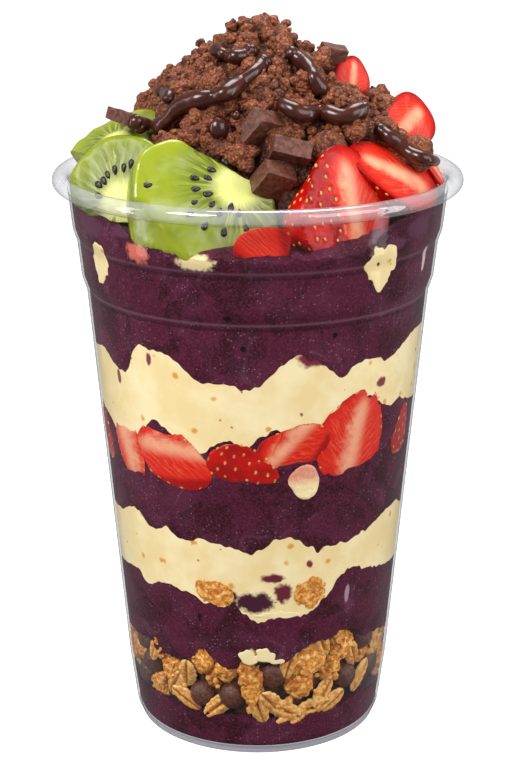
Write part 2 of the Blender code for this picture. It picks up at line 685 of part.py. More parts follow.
def make_heap(neighbours):
    """The brownie crumble with its sauce: a core with lumps, trails and drops fused on."""
    rng = random.Random(CRUMB_SEED + 1)
    heap = add_part("brownie_heap", heap_core_mesh(), "brownie")
    pieces = []
    for index, (spot, radius) in enumerate(heap_lumps(neighbours)):
        bm = lump_mesh((radius, radius * rng.uniform(0.85, 1.1), radius * rng.uniform(0.8, 1.0)), rng)
        bm.transform(Matrix.Translation(spot))
        pieces.append(add_cutter(f"lump_{index}", bm))
    for index, (points, radius) in enumerate(SAUCE_TRAILS):
        pieces.append(add_cutter(f"trail_{index}", sauce_trail_mesh(points, radius)))
    for index, ((x, y), radius) in enumerate(SAUCE_DROPS):
        bm = lump_mesh([radius * MM] * 3, rng, subdivisions=2, unevenness=0.0)
        bm.transform(Matrix.Translation((x * MM, y * MM, heap_height(x * MM, y * MM))))
        pieces.append(add_cutter(f"drop_{index}", bm))
    union_all(heap, pieces)
    make_room(heap, neighbours)
    return heap


def main():
    cavity = make_cavity()
    make_cup()
    borders = [border(points) for points in (ACAI_BASE_TOP, GRANOLA_TOP, ACAI_LOWER_TOP, CREAM_LOWER_TOP,
                                             ACAI_MIDDLE_TOP, CREAM_UPPER_TOP)]
    crown = border(ACAI_CROWN_TOP, ACAI_CROWN_LEVEL + GAP / 2, power=ACAI_CROWN_POWER)
    rng = random.Random(CRUMB_SEED + 2)

    add_part("acai_base", make_layer_mesh(lambda turn, share: FLOOR_TOP + GAP / 2, borders[0]), "acai")
    make_granola(borders[0], borders[1])
    acai_lower = add_part("acai_lower", make_layer_mesh(borders[1], borders[2]), "acai")
    cream_lower = add_part("cream_lower", make_layer_mesh(borders[2], borders[3]), "cream")
    acai_middle = add_part("acai_middle", make_layer_mesh(borders[3], borders[4]), "acai")
    cream_upper = add_part("cream_upper", make_layer_mesh(borders[4], borders[5]), "cream")
    acai_crown = add_part("acai_crown", make_layer_mesh(borders[5], crown, LEDGES), "acai")

    bits = []
    for index, (turn, height, radius) in enumerate(GRANOLA_BITS):
        bits.append(make_wall_lump(f"granola_bit_{index + 1}", turn, height, (radius, radius, radius * 0.8),
                                   "granola", cavity, rng))
    make_room(acai_lower, bits)
    make_room(cream_lower, bits)

    berries = make_band_berries(cavity)
    turn, height, radius = PALE_BIT
    pale_bit = make_wall_lump("pale_bit", turn, height, (radius, radius, radius), "pale_fruit", cavity, rng)
    make_room(pale_bit, berries)
    make_room(acai_middle, berries + [pale_bit])
    make_room(cream_upper, berries)

    dabs = []
    for index, (turn, height, half_width, half_height) in enumerate(CREAM_DABS):
        dabs.append(make_wall_lump(f"cream_dab_{index + 1}", turn, height, (half_width, 3.0, half_height),
                                   "cream", cavity, rng))
    fruit = make_fruit(cavity)
    for dab in dabs:
        make_room(dab, fruit)
    make_room(acai_crown, fruit + dabs)
    blocks = make_blocks(fruit)
    make_heap(fruit + blocks)
    bpy.data.objects.remove(cavity)


main()
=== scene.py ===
import functools
import json
import math

import bmesh
import bpy
import numpy as np
from mathutils import Matrix, Vector
from mathutils.bvhtree import BVHTree

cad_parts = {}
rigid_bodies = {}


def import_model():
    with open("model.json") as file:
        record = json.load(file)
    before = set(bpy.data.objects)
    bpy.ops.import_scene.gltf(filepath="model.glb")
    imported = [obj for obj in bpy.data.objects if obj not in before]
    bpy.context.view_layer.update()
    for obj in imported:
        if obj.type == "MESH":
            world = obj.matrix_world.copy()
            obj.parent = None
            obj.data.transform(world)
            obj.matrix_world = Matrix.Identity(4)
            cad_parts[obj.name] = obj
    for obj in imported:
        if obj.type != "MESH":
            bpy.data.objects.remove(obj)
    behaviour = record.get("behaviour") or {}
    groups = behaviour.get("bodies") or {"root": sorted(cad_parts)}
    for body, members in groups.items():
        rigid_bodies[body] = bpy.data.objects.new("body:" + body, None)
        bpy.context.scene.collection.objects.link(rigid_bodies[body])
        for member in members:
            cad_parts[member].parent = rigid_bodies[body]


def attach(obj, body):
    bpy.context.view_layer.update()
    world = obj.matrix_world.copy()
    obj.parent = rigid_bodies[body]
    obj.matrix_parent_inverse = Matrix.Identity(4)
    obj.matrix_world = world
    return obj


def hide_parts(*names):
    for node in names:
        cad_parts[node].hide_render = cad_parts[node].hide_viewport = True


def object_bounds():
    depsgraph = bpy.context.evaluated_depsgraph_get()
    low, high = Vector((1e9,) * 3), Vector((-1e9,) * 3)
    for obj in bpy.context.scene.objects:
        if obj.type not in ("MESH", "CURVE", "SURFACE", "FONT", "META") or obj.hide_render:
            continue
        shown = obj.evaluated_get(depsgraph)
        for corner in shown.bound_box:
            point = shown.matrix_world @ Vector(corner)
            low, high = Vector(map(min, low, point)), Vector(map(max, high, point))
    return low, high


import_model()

CAD_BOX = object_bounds()

# The looks of a clear cup of layered acai, cream, strawberries and granola under a heap of fruit and brownie.
# Design tables are in millimetres and meshes are made in millimetres, then scaled to metres once.
# Turns round the cup are in degrees from the front, positive towards +X.
MM = 0.001
# Height of the whole part
TOP = CAD_BOX[1].z / MM

# Driving dimensions of the cup
TURN_STEPS = 160
LAYER_STEPS = 720
WALL = 0.7
FLOOR_UNDERSIDE = 1.2
FLOOR_TOP = 2.2
FOOT_RING_WIDTH = 1.6
BEAD_RADIUS = 1.95
BEAD_CENTRE = (47.15, 137.9)
NECK_TOP = 136.0
# Outer radius of the wall at each height where its slope changes, with two stacking ledges
OUTER_WALL = ((0.0, 30.0), (1.5, 30.0), (2.5, 31.0), (16.0, 32.8), (111.5, 41.45),
              (115.0, 42.6), (123.5, 43.5), (126.5, 44.5), (136.0, 45.5))
LEDGES = (111.5, 115.0, 123.5, 126.5)
# How far what touches the wall reaches into it: layers, dabs and bits, fruit, and fruit that acai covers
LAYER_REACH = 0.10
DAB_REACH = 0.18
FRUIT_REACH = 0.26
HIDDEN_REACH = -0.4
# Clearance inside the bead, and the largest radius of food above it
BEAD_CLEARANCE = 0.1
HEAP_RADIUS = 48.6

# Borders between the layers where they meet the wall: turn and height, across the front
ACAI_BASE_TOP = ((-73, 12.7), (-64, 11.1), (-49, 12.0), (-41, 10.2), (-33, 8.8), (-25, 11.2), (-15, 10.0),
                 (-5, 10.0), (4, 7.9), (11, 8.2), (20, 7.0), (24, 10.3), (34, 8.5), (41, 10.0), (49, 11.7),
                 (64, 10.4), (79, 8.7))
GRANOLA_TOP = ((-78, 24.4), (-53, 26.2), (-49, 23.2), (-40, 24.1), (-29, 24.6), (-24, 29.0), (-19, 25.3),
               (-14, 24.1), (-9, 24.0), (-6, 27.2), (-3, 29.9), (2, 29.4), (6, 26.2), (13, 25.4), (16, 28.3),
               (24, 29.7), (31, 30.4), (37, 31.6), (45, 30.8), (54, 26.3), (64, 26.6), (84, 22.7))
ACAI_LOWER_TOP = ((-84, 42.4), (-66, 43.8), (-56, 44.9), (-53, 41.8), (-49, 41.6), (-43, 43.8), (-37, 43.8),
                  (-30, 43.0), (-20, 41.4), (-10, 42.6), (-6, 39.2), (-1, 36.7), (6, 38.2), (19, 38.0),
                  (25, 40.0), (29, 42.1), (34, 46.6), (39, 48.8), (46, 46.6), (56, 45.2), (68, 43.8),
                  (81, 42.8))
CREAM_LOWER_TOP = ((-84, 57.3), (-66, 58.3), (-58, 61.0), (-52, 60.9), (-47, 57.7), (-41, 57.3), (-38, 59.6),
                   (-34, 58.0), (-30, 56.2), (-24, 58.0), (-18, 57.8), (-13, 56.3), (-7, 56.6), (-2, 54.4),
                   (2, 56.7), (6, 58.5), (15, 58.7), (19, 55.7), (31, 54.9), (38, 55.8), (51, 58.1),
                   (60, 59.8), (68, 60.2), (84, 56.1))
ACAI_MIDDLE_TOP = ((-79, 83.5), (-69, 82.5), (-63, 79.6), (-56, 79.3), (-48, 80.7), (-43, 83.3), (-40, 86.7),
                   (-37, 86.8), (-34, 84.6), (-31, 82.6), (-27, 80.9), (-20, 79.9), (-15, 81.9), (-10, 83.9),
                   (-7, 81.7), (-2, 81.3), (0, 85.3), (5, 86.4), (12, 85.0), (23, 84.9), (29, 89.5),
                   (34, 91.8), (40, 92.6), (48, 89.7), (53, 87.4), (59, 88.4), (75, 85.5), (84, 85.2))
CREAM_UPPER_TOP = ((-79, 98.2), (-67, 100.1), (-56, 96.7), (-49.5, 96.5), (-46, 103.5), (-42, 104.0),
                   (-36, 104.0), (-29, 102.5), (-25, 100.1), (-21, 98.0), (-13, 97.7), (-7, 96.8),
                   (-2, 96.1), (2, 98.6), (6, 100.0), (9, 103.2), (14, 104.8), (24.5, 100.7), (28, 97.8),
                   (33, 100.0), (40, 101.5), (50, 99.5), (58, 102.2), (66, 104.3), (84, 103.4))
ACAI_CROWN_TOP = ((-75, 133.6), (-62, 133.0), (-52, 134.2), (-44, 133.4), (-38, 129.0), (-28, 129.0),
                  (-21, 126.8), (-15, 127.8), (0, 127.0), (10, 127.2), (20, 127.6), (32, 127.6), (38, 130.6),
                  (46, 134.3), (58, 135.2), (70, 134.0))
# How far the borders sway at the back
BACK_SWAY = 1.4
# Height and colour of the painted highlight lines and painted shade lines in the crown, where the ledges bend
# what is seen of it
LEDGE_HIGHLIGHT_AND_SHADE_LINES = ((112.0, (128, 88, 102)), (110.8, (22, 2, 10)), (124.4, (116, 78, 94)), (123.2, (28, 3, 13)))
# Height of the crown's upper side away from the wall
CROWN_LEVEL = 130.0

# The heap's outer surface: radius and height, and how far it reaches at each turn
HEAP_SLOPE = ((0, 177.0), (4, 176.0), (8, 172.5), (13, 168.0), (20, 163.0), (28, 157.0), (34, 151.5),
              (39, 145.0), (44, 137.0))
HEAP_REACH = ((-180, 0.98), (-135, 0.95), (-90, 0.87), (-45, 0.84), (-15, 0.74), (0, 0.70), (25, 0.72),
              (50, 0.95), (90, 0.98), (135, 0.95), (180, 0.98))
# How deep the dark core lies below the heap's surface, and its largest radius
HEAP_CORE_DEPTH = 4.6
HEAP_CORE_RADIUS = 35.5

# Halved strawberries pressed against the wall between the layers
# turn, height, length, width, depth, roll of the tip to the right, turn of the cut face away from outward
BAND_BERRIES = (
    (-76, 77.5, 16, 12, 7, -20, 150), (-54, 76.5, 17, 12, 8, 160, 0), (-32, 77.3, 22, 16, 9, 115, 0),
    (-5, 78.6, 15.5, 23, 10, 10, 175), (13, 81.8, 19, 12, 8, 78, 0), (36, 82.0, 22, 20, 10, 12, 0),
    (64, 79.5, 18, 14, 8, 10, 165), (100, 80.0, 20, 16, 9, 200, 0), (136, 78.5, 20, 15, 9, 80, 160),
    (171, 79.5, 19, 16, 9, 165, 0), (-152, 78.0, 19, 15, 9, -60, 165), (-114, 79.5, 19, 16, 9, 20, 0))
# Where acai or cream covers a band strawberry in a straight line, by its place in the table above, from 0:
# angle from the right, distance from its middle
BAND_COVERS = {1: ((90, 4.6), (-90, 5.2)), 2: ((90, 5.8), (-150, 8.2)), 3: ((-90, 4.8),), 4: ((-90, 3.6),),
               5: ((-75, 6.8),), 9: ((90, 5.0),), 10: ((-90, 4.6),), 11: ((60, 6.5),)}
# How the colours of a strawberry lie: shares of its across and along, and a shift, for each of the two
BERRY_COLOURS = {
    "band_strawberry_02": ((0.35, 0.0, 0.0), (0.0, 1.0, 0.0)),
    "band_strawberry_03": ((0.7, 0.5, 0.32), (0.0, 0.7, -0.1)),
    "band_strawberry_04": ((1.0, 0.0, 0.0), (-0.65, -0.7, 0.0)),
    "band_strawberry_05": ((0.5, 0.6, 0.24), (0.0, 0.8, -0.1)),
    "band_strawberry_06": ((0.85, 0.0, 0.0), (0.0, 0.9, 0.0)),
    "band_strawberry_08": ((0.6, 0.4, 0.2), (0.0, 0.8, 0.0)),
    "band_strawberry_10": ((0.8, -0.4, 0.2), (0.0, 0.8, 0.0)),
    "strawberry_front": ((1.25, 0.0, -0.2), (0.0, 1.0, 0.0)),
    "strawberry_low": ((0.3, 0.0, 0.6), (0.0, 1.0, 0.0)),
}
# Bits at the wall: turn, height, radius. Dabs of cream: turn, height, half width, half height
PALE_BIT = (17.5, 73.2, 4.6)
GRANOLA_BITS = ((-17.5, 44.3, 4.4), (22.5, 43.6, 4.6), (-146.0, 44.0, 4.3), (158.0, 43.8, 4.5))
CREAM_DABS = ((41.0, 123.0, 5.2, 6.0), (-58.0, 122.5, 4.2, 6.0), (150.0, 122.0, 4.8, 6.0))
DAB_DEPTH = 3.0

# Fruit on top. Centre, turn of the cut face, lean back, roll, then the sizes of its kind
# kiwi: half width, half height, thickness, height of the straight edge below the centre, squareness;
# then the core off the centre and the angle and distance of a second straight cut
KIWIS = (
    ("kiwi_front", (-11.5, -33.5, 138.0), 20, 30, 0, (16.5, 16.5, 11.0, 14.0, 2.8), (8.0, 3.9), (54.0, 10.5)),
    ("kiwi_left", (-32.5, -20.5, 134.5), -33, 18, 0, (16.5, 17.0, 8.0, 3.0, 2.0), (0.5, 1.5), None),
    ("kiwi_left_back", (-33.5, -3.0, 147.5), -60, 62, 0, (13.0, 12.5, 6.0, 8.0, 2.4), (0.0, 0.0), None),
    ("kiwi_back_left", (-22.0, 29.5, 138.0), -142, 30, -10, (15.0, 15.5, 9.0, 6.0, 2.0), (0.0, 0.0), None),
    ("kiwi_back_right", (13.0, 34.0, 138.0), 158, 28, 12, (15.5, 16.0, 9.0, 9.0, 2.0), (1.0, 0.0), None),
)
# Seeds of the two slices in front, in pixels of the photograph
SEED_PIXELS = {
    "kiwi_front": ((212, 170), (208, 178), (195, 178), (196, 189), (208, 194), (195, 202), (212, 204),
                   (231, 207), (220, 212), (239, 213), (225, 162), (148, 185), (246, 228), (205, 226),
                   (224, 232), (190, 214)),
    "kiwi_left": ((124, 168), (115, 170), (136, 170), (108, 175), (142, 177), (104, 181), (99, 185),
                  (99, 196), (148, 171), (147, 186), (131, 164)),
}
# strawberry: length, width, depth of the half
BERRIES = (
    ("strawberry_front", (20.0, -30.5, 136.5), 45, 18, -4, (27.0, 30.0, 17.0)),
    ("strawberry_right_front", (31.5, -19.5, 142.0), 48, 38, -52, (26.0, 16.0, 10.0)),
    ("strawberry_right", (35.0, 0.0, 150.0), 35, 20, -120, (18.0, 15.0, 8.0)),
    ("strawberry_rim_right", (41.0, -7.0, 142.0), 80, 30, 160, (14.0, 12.0, 7.0)),
    ("strawberry_top", (22.5, 4.0, 160.5), 25, 15, 15, (11.0, 10.0, 6.0)),
    ("strawberry_low", (1.5, -41.8, 129.6), 4, 0, 60, (13.0, 12.0, 6.0)),
    ("strawberry_back_right", (34.0, 21.0, 140.0), 122, 30, -15, (22.0, 18.0, 11.0)),
    ("strawberry_back", (-4.0, 36.0, 140.0), 183, 26, 170, (21.0, 18.0, 10.0)),
    ("strawberry_left_back", (-37.0, 17.0, 139.0), -115, 30, 20, (20.0, 17.0, 10.0)),
)
# chocolate block: centre, turns about Z, X and Y, size
BLOCKS = (
    ("chocolate_block_1", (0.8, -22.5, 153.5), 30, -38, 20, (8.0, 4.5, 7.5)),
    ("chocolate_block_2", (7.2, -25.0, 148.0), -12, -50, 22, (9.0, 4.5, 7.5)),
    ("chocolate_block_3", (3.5, -28.5, 142.6), 12, -35, 25, (8.0, 4.5, 7.5)),
    ("chocolate_block_4", (17.7, 4.0, 166.3), 20, -20, 14, (6.5, 3.5, 4.5)),
    ("chocolate_block_5", (-12.5, -17.5, 154.5), -30, -45, 10, (7.5, 3.5, 6.0)),
    ("chocolate_block_6", (-30.0, -11.0, 153.5), -60, -70, 0, (10.0, 3.0, 7.0)),
    ("chocolate_block_7", (-6.0, 24.0, 156.5), 165, -42, 15, (8.5, 4.5, 7.5)),
)
# How far the edges of a block are rounded
BLOCK_EDGE = 0.3

# Streaks of cream between granola and acai: turn, height, half width, half height
CREAM_STREAKS = ((-3.8, 27.3, 2.2, 2.4), (3.0, 27.6, 2.6, 2.0), (8.0, 26.0, 1.8, 0.9), (8.0, 38.4, 5.6, 0.9))
# Painted smears at the wall: turn, height, half width, half height, colour
ACAI_SMEARS_AND_PIT_SHADE = ((-60, 130.6, 6.0, 2.6, (92, 46, 70)), (-44, 131.6, 3.4, 1.6, (96, 52, 74)),
               (57, 131.0, 5.0, 2.8, (90, 46, 68)), (45, 128.6, 3.6, 1.4, (92, 48, 70)),
               (-38, 127.3, 3.2, 2.6, (214, 112, 98)), (-18.5, 126.6, 4.6, 1.8, (236, 214, 160)),
               (65, 122.5, 1.1, 3.6, (226, 192, 190)), (38.5, 41.5, 0.7, 2.6, (178, 140, 160)),
               # The small dark spots on this line and the next are painted shade in small pits of the acai
               (-9.6, 113.7, 1.0, 0.8, (8, 2, 6)), (-4.6, 106.4, 0.7, 0.7, (8, 2, 6)),
               (25.5, 108.7, 0.7, 0.8, (8, 2, 6)), (-24, 37.0, 0.6, 1.0, (30, 6, 20)))
CREAM_SMEARS = ((18.5, 103.6, 4.0, 2.3, (120, 38, 52)), (47, 94.7, 1.6, 1.2, (124, 44, 56)),
                (-39, 101.4, 0.8, 1.5, (124, 50, 60)), (-56, 94.6, 0.8, 1.9, (130, 70, 84)),
                (5.6, 48.4, 2.8, 1.2, (104, 26, 44)), (9.8, 44.4, 2.2, 2.6, (104, 26, 44)),
                (20.5, 51.4, 0.9, 0.9, (134, 40, 50)), (-1.5, 42.0, 5.0, 2.7, (66, 14, 38)),
                (-12.0, 43.4, 2.6, 1.6, (66, 14, 38)))
# Flecks in the cream: spacing, reach, share left out, colour
CREAM_FLECKS = ((4.4, 0.24, 0.5, (222, 150, 40)), (2.6, 0.15, 0.8, (196, 112, 40)),
                (5.6, 0.11, 0.8, (132, 48, 50)))

# Camera, fitted to the cup's rim, ledges and foot in the photograph
CAMERA_PLACE = (0.0, -470.1, 232.7)
CAMERA_PITCH = math.radians(17.37)
FOCAL_PIXELS = 1991.7
IMAGE_SIZE = (512, 768)
AXIS_PIXEL = 257.7
SENSOR = 36.0

# Seeds of a strawberry's skin: spacing and size
ACHENE_SPACING = 2.3
ACHENE_SIZE = (0.75, 0.5, 1.15)
# Kiwi seeds: how many on a slice, half sizes, and in how many turns round its core
SEEDS_PER_SLICE = 38
SEED_SIZE = (1.15, 0.45, 0.7)
SEED_TURNS = 2.0

# Crumbs that trail off the heap over the strawberries, from the heap to the rim at the right
CRUMB_TRAIL = ((27.0, -12.0, 149.5), (30.5, -13.0, 148.5), (34.0, -14.0, 147.5), (37.5, -15.0, 146.0),
               (40.5, -16.5, 144.0))
# How many loose crumbs lie on the heap
CRUMBS = 800
# Lumps listed one by one, place and radius: in front between the kiwi and the blocks, and on the peak
FRONT_LUMPS = (((-11.5, -22.0, 150.3), 2.6), ((-8.1, -23.0, 149.1), 2.9), ((-4.9, -24.5, 147.6), 2.6),
               ((-2.6, -25.5, 145.5), 2.2), ((-7.2, -21.0, 151.3), 2.4), ((-4.0, -22.0, 150.1), 2.4),
               ((-1.7, -23.5, 148.1), 2.0))
PEAK_LUMPS = (((1.4, -1.0, 173.2), 2.9), ((4.6, -3.0, 170.6), 3.2), ((-2.2, -3.6, 170.4), 2.8))
# Lumps of crumble: how many, smallest and largest radius, how deep they sit
LUMP_KINDS = ((58, 3.2, 5.2, 0.5), (150, 1.4, 2.8, 0.0))
# Radius from which a lump counts as large, and place along Y up to which it is a finer mesh
LARGE_LUMP = 2.8
FINE_LUMPS = 6.0
# How far out lumps and crumbs are spread, before the heap's own reach
LUMP_REACH = 36.5
CRUMB_REACH = 40.0
# How far before a cut face the core is pushed behind it, and lumps are left out
PUSH_DEPTH = 12.0
CLEAR_DEPTH = 14.0

# Chocolate sauce in pixels of the photograph: the middle of each trail, then its radius in millimetres
SAUCE_TRAILS = (
    (((268, 60), (258, 72), (246, 82), (234, 92), (222, 99), (206, 102), (192, 106), (179, 113), (168, 126),
      (152, 134)), 1.95),
    (((219, 53), (226, 57), (236, 60), (246, 57), (252, 50)), 1.6),
    (((284, 52), (296, 62), (307, 71), (313, 84), (321, 97)), 1.6),
    (((278, 106), (290, 113), (300, 118), (318, 115), (340, 121), (356, 114), (366, 115)), 2.0),
    (((372, 128), (384, 138), (396, 147), (407, 156), (420, 161), (436, 165)), 1.4),
    (((108, 136), (122, 131), (136, 126), (144, 122)), 1.5),
    (((160, 96), (166, 94), (172, 98), (168, 106)), 1.4),
)
SAUCE_DROPS = (((218, 129), 2.5), ((140, 128), 1.6), ((236, 116), 1.0), ((338, 119), 1.9), ((252, 52), 1.5))


def colour(red, green, blue):
    """A colour, 0 to 255, as linear values."""
    def linear(value):
        share = value / 255.0
        return share / 12.92 if share <= 0.04045 else ((share + 0.055) / 1.055) ** 2.4

    return (linear(red), linear(green), linear(blue), 1.0)


class Paint:
    """A material and its nodes. Inputs may be values or other nodes' outputs."""

    def __init__(self, name, **settings):
        self.material = bpy.data.materials.new(name)
        self.material.use_nodes = True
        self.nodes = self.material.node_tree.nodes
        self.links = self.material.node_tree.links
        self.shader = self.nodes["Principled BSDF"]
        self.set(self.shader, settings)

    def set(self, node, inputs):
        for key, value in inputs.items():
            socket = node.inputs[key if isinstance(key, int) else key.replace("_", " ")]
            if isinstance(value, bpy.types.NodeSocket):
                self.links.new(value, socket)
            else:
                socket.default_value = value

    def add(self, kind, inputs, **settings):
        node = self.nodes.new("ShaderNode" + kind)
        for key, value in settings.items():
            setattr(node, key, value)
        self.set(node, inputs)
        return node

    def place(self, attribute=None):
        """Coordinates to paint by: an attribute of the mesh, or the object's own place."""
        if attribute:
            return self.add("Attribute", {}, attribute_name=attribute).outputs["Vector"]
        return self.add("TexCoord", {}).outputs["Object"]

    def parts(self, place):
        """The three numbers of some coordinates."""
        return tuple(self.add("SeparateXYZ", {0: place}).outputs)

    def noise(self, size, place, detail=4.0, roughness=0.55, distortion=0.0):
        """Cloudy noise whose patches are about so many units wide."""
        node = self.add("TexNoise", {"Vector": place, "Scale": 1.0 / size, "Detail": detail,
                                     "Roughness": roughness, "Distortion": distortion})
        return node.outputs["Fac"]

    def rays(self, across, along, size, detail):
        """Noise drawn out by two numbers of unlike scale."""
        place = self.add("CombineXYZ", {0: across, 1: along, 2: 0.0}).outputs[0]
        return self.noise(size, place, detail, 0.6)

    def cells(self, size, place):
        """Cells about so many units wide: distance from a cell's middle, and a number of its own."""
        node = self.add("TexVoronoi", {"Vector": place, "Scale": 1.0 / size})
        number = self.add("SeparateColor", {0: node.outputs["Color"]}).outputs[0]
        return node.outputs["Distance"], number

    def maths(self, operation, first, second=0.0):
        return self.add("Math", {0: first, 1: second}, operation=operation).outputs[0]

    def plus(self, first, second):
        return self.maths("ADD", first, second)

    def less(self, first, second):
        return self.maths("SUBTRACT", first, second)

    def times(self, first, second):
        return self.maths("MULTIPLY", first, second)

    def length(self, first, second):
        return self.maths("SQRT", self.plus(self.times(first, first), self.times(second, second)))

    def span(self, value, low, high, to_low=0.0, to_high=1.0):
        """A value between low and high taken smoothly to a share."""
        node = self.add("MapRange", {"Value": value, "From_Min": low, "From_Max": high, "To_Min": to_low,
                                     "To_Max": to_high}, interpolation_type="SMOOTHSTEP")
        return node.outputs["Result"]

    def vector(self, operation, first, second):
        return self.add("VectorMath", {0: first, 1: second}, operation=operation).outputs["Vector"]

    def bent(self, place, size, reach):
        """Coordinates pushed about by noise, so that cells lose their even outlines."""
        cloud = self.add("TexNoise", {"Vector": place, "Scale": 1.0 / size}).outputs["Color"]
        push = self.add("VectorMath", {0: cloud, "Scale": reach}, operation="SCALE")
        return self.vector("ADD", place, push.outputs["Vector"])

    def mix(self, share, first, second):
        """A blend of two values or colours. Colours may be given as three numbers, 0 to 255."""
        first, second = [colour(*tint) if isinstance(tint, tuple) else tint for tint in (first, second)]
        return self.add("Mix", {0: share, 6: first, 7: second}, data_type="RGBA").outputs[2]

    def wash(self, base, tint, value, low, high, most=1.0):
        """The base with a tint over it where a value passes from low to high."""
        return self.mix(self.span(value, low, high, 0.0, most), base, tint)

    def smears_and_pit_shade(self, base, place, spots):
        """Ragged smears at the wall, and the painted shade of small pits, each at a turn and a height."""
        ragged = self.times(self.noise(1.6 * MM, place, 5, 0.6), 1.3)
        for turn, height, half_width, half_height, tint in spots:
            centre = on_circle(turn, float(outer_radius(height)) - WALL, height) * MM
            away = self.vector("SUBTRACT", place, tuple(centre))
            away = self.vector("DIVIDE", away, (half_width * MM, half_width * MM, half_height * MM))
            distance = self.add("VectorMath", {0: away}, operation="LENGTH").outputs["Value"]
            base = self.wash(base, tint, self.plus(distance, ragged), 1.85, 1.35)
        return base

    def finish(self, base, relief, depth, strength):
        """The material with its colour and its fine relief, so many millimetres deep."""
        bump = self.add("Bump", {"Height": relief, "Distance": depth * MM, "Strength": strength})
        self.set(self.shader, {"Base_Color": base, "Normal": bump.outputs["Normal"]})
        return self.material


def ripple(points, size, seed, waves=18):
    """Smooth uneven relief between about -1 and 1, with bumps about so many millimetres wide."""
    rng = np.random.default_rng(seed)
    directions = rng.normal(size=(waves, 3))
    directions /= np.linalg.norm(directions, axis=1)[:, None]
    directions *= rng.uniform(0.6, 1.5, waves)[:, None] * math.tau / (2.2 * size)
    phases = rng.uniform(0, math.tau, waves)
    return np.sin(points @ directions.T + phases).sum(axis=-1) / math.sqrt(waves)


def scramble(cells, seed):
    """Three even random numbers for each whole-number cell."""
    mixed = (cells[:, 0] * 73856093) ^ (cells[:, 1] * 19349663) ^ (cells[:, 2] * 83492791) ^ (seed * 2654435)
    values = []
    for salt in (12345, 67891, 24680):
        mixed = (mixed * 1103515245 + salt) & 0x7FFFFFFF
        mixed ^= mixed >> 13
        values.append((mixed & 0xFFFF) / 65535.0)
    return np.stack(values, axis=1)


def nearest_grain(points, size, seed):
    """Squared distance to the nearest scattered grain, and that grain's own number from 0 to 1."""
    scaled = points / size
    cells = np.floor(scaled).astype(np.int64)
    nearest = np.full(len(points), 9.0)
    numbers = np.zeros(len(points))
    for x in (-1, 0, 1):
        for y in (-1, 0, 1):
            for z in (-1, 0, 1):
                cell = cells + (x, y, z)
                random = scramble(cell, seed)
                distance = ((scaled - cell - 0.15 - 0.7 * random) ** 2).sum(axis=1)
                numbers = np.where(distance < nearest, random[:, 0], numbers)
                nearest = np.minimum(nearest, distance)
    return nearest, numbers


def granules(points, size, seed):
    """Relief of rounded grains pressed together, 1 on each grain's top and 0 in the gaps."""
    nearest, _ = nearest_grain(points, size, seed)
    return np.sqrt(np.clip(1.0 - nearest / 0.72, 0.0, 1.0))


def flakes(points, size, seed):
    """Relief of flat flakes pressed together, each at a height of its own between 0 and 1."""
    return nearest_grain(points, size, seed)[1]


def as_arrays(bm):
    """Points and triangles of a bmesh, which is freed."""
    points = np.array([tuple(vert.co) for vert in bm.verts])
    faces = np.array([[vert.index for vert in face.verts] for face in bm.faces])
    bm.free()
    return points, faces


@functools.lru_cache(maxsize=None)
def ball(subdivisions):
    """Points and triangles of a round ball of radius 1."""
    bm = bmesh.new()
    bmesh.ops.create_icosphere(bm, subdivisions=subdivisions, radius=1.0)
    return as_arrays(bm)


def join(meshes):
    """Several meshes (points, faces) as one."""
    points = np.concatenate([mesh[0] for mesh in meshes])
    starts = np.cumsum([0] + [len(mesh[0]) for mesh in meshes[:-1]])
    faces = np.concatenate([mesh[1] + start for mesh, start in zip(meshes, starts)])
    return points, faces


def place(points, matrix):
    """Points moved by a 4 by 4 matrix."""
    matrix = np.array(matrix)
    return points @ matrix[:3, :3].T + matrix[:3, 3]


def add_piece(name, shape, material, nodes=(), sharp=None, paint=()):
    """Put a smooth piece in the frame. Its shape is points in millimetres and faces, its edges are sharp from
    an angle in degrees, and its paint is the name and the values of coordinates to paint by."""
    points, faces = shape
    mesh = bpy.data.meshes.new(name)
    mesh.from_pydata((points * MM).tolist(), [], faces.tolist())
    mesh.materials.append(material)
    mesh.shade_smooth()
    if paint:
        attribute = mesh.attributes.new(paint[0], "FLOAT_VECTOR", "POINT")
        attribute.data.foreach_set("vector", np.asarray(paint[1], np.float32).ravel())
    piece = bpy.data.objects.new(name, mesh)
    bpy.context.scene.collection.objects.link(piece)
    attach(piece, "root")
    if nodes:
        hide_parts(*nodes)
    if sharp:
        mesh.set_sharp_from_angle(angle=math.radians(sharp))
    return piece


def search_trees(pieces):
    """Trees of some pieces, to find what lies inside them or on a line."""
    graph = bpy.context.evaluated_depsgraph_get()
    return [BVHTree.FromObject(piece, graph) for piece in pieces]


def face_outwards(points, faces):
    """The same closed mesh with its faces turned to point out."""
    corners = points[faces]
    volume = (corners[:, 0] * np.cross(corners[:, 1], corners[:, 2])).sum()
    return points, faces if volume > 0 else faces[:, ::-1]


def loft(rings):
    """A closed solid through rings of points, with both ends drawn to their middles."""
    rings = np.asarray(rings)
    count, around = rings.shape[:2]
    points = np.concatenate([rings.reshape(-1, 3), [rings[0].mean(axis=0), rings[-1].mean(axis=0)]])
    index = np.arange(count * around).reshape(count, around)
    after = np.roll(index, -1, axis=1)
    sides = np.stack([index[:-1], after[:-1], after[1:], index[1:]], axis=-1).reshape(-1, 4)
    triangles = np.concatenate([sides[:, [0, 1, 2]], sides[:, [0, 2, 3]]])
    low = np.stack([after[0], index[0], np.full(around, count * around)], axis=-1)
    high = np.stack([index[-1], after[-1], np.full(around, count * around + 1)], axis=-1)
    return face_outwards(points, np.concatenate([triangles, low, high]))


def outer_radius(height):
    heights, radii = zip(*OUTER_WALL)
    return np.interp(height, heights, radii)


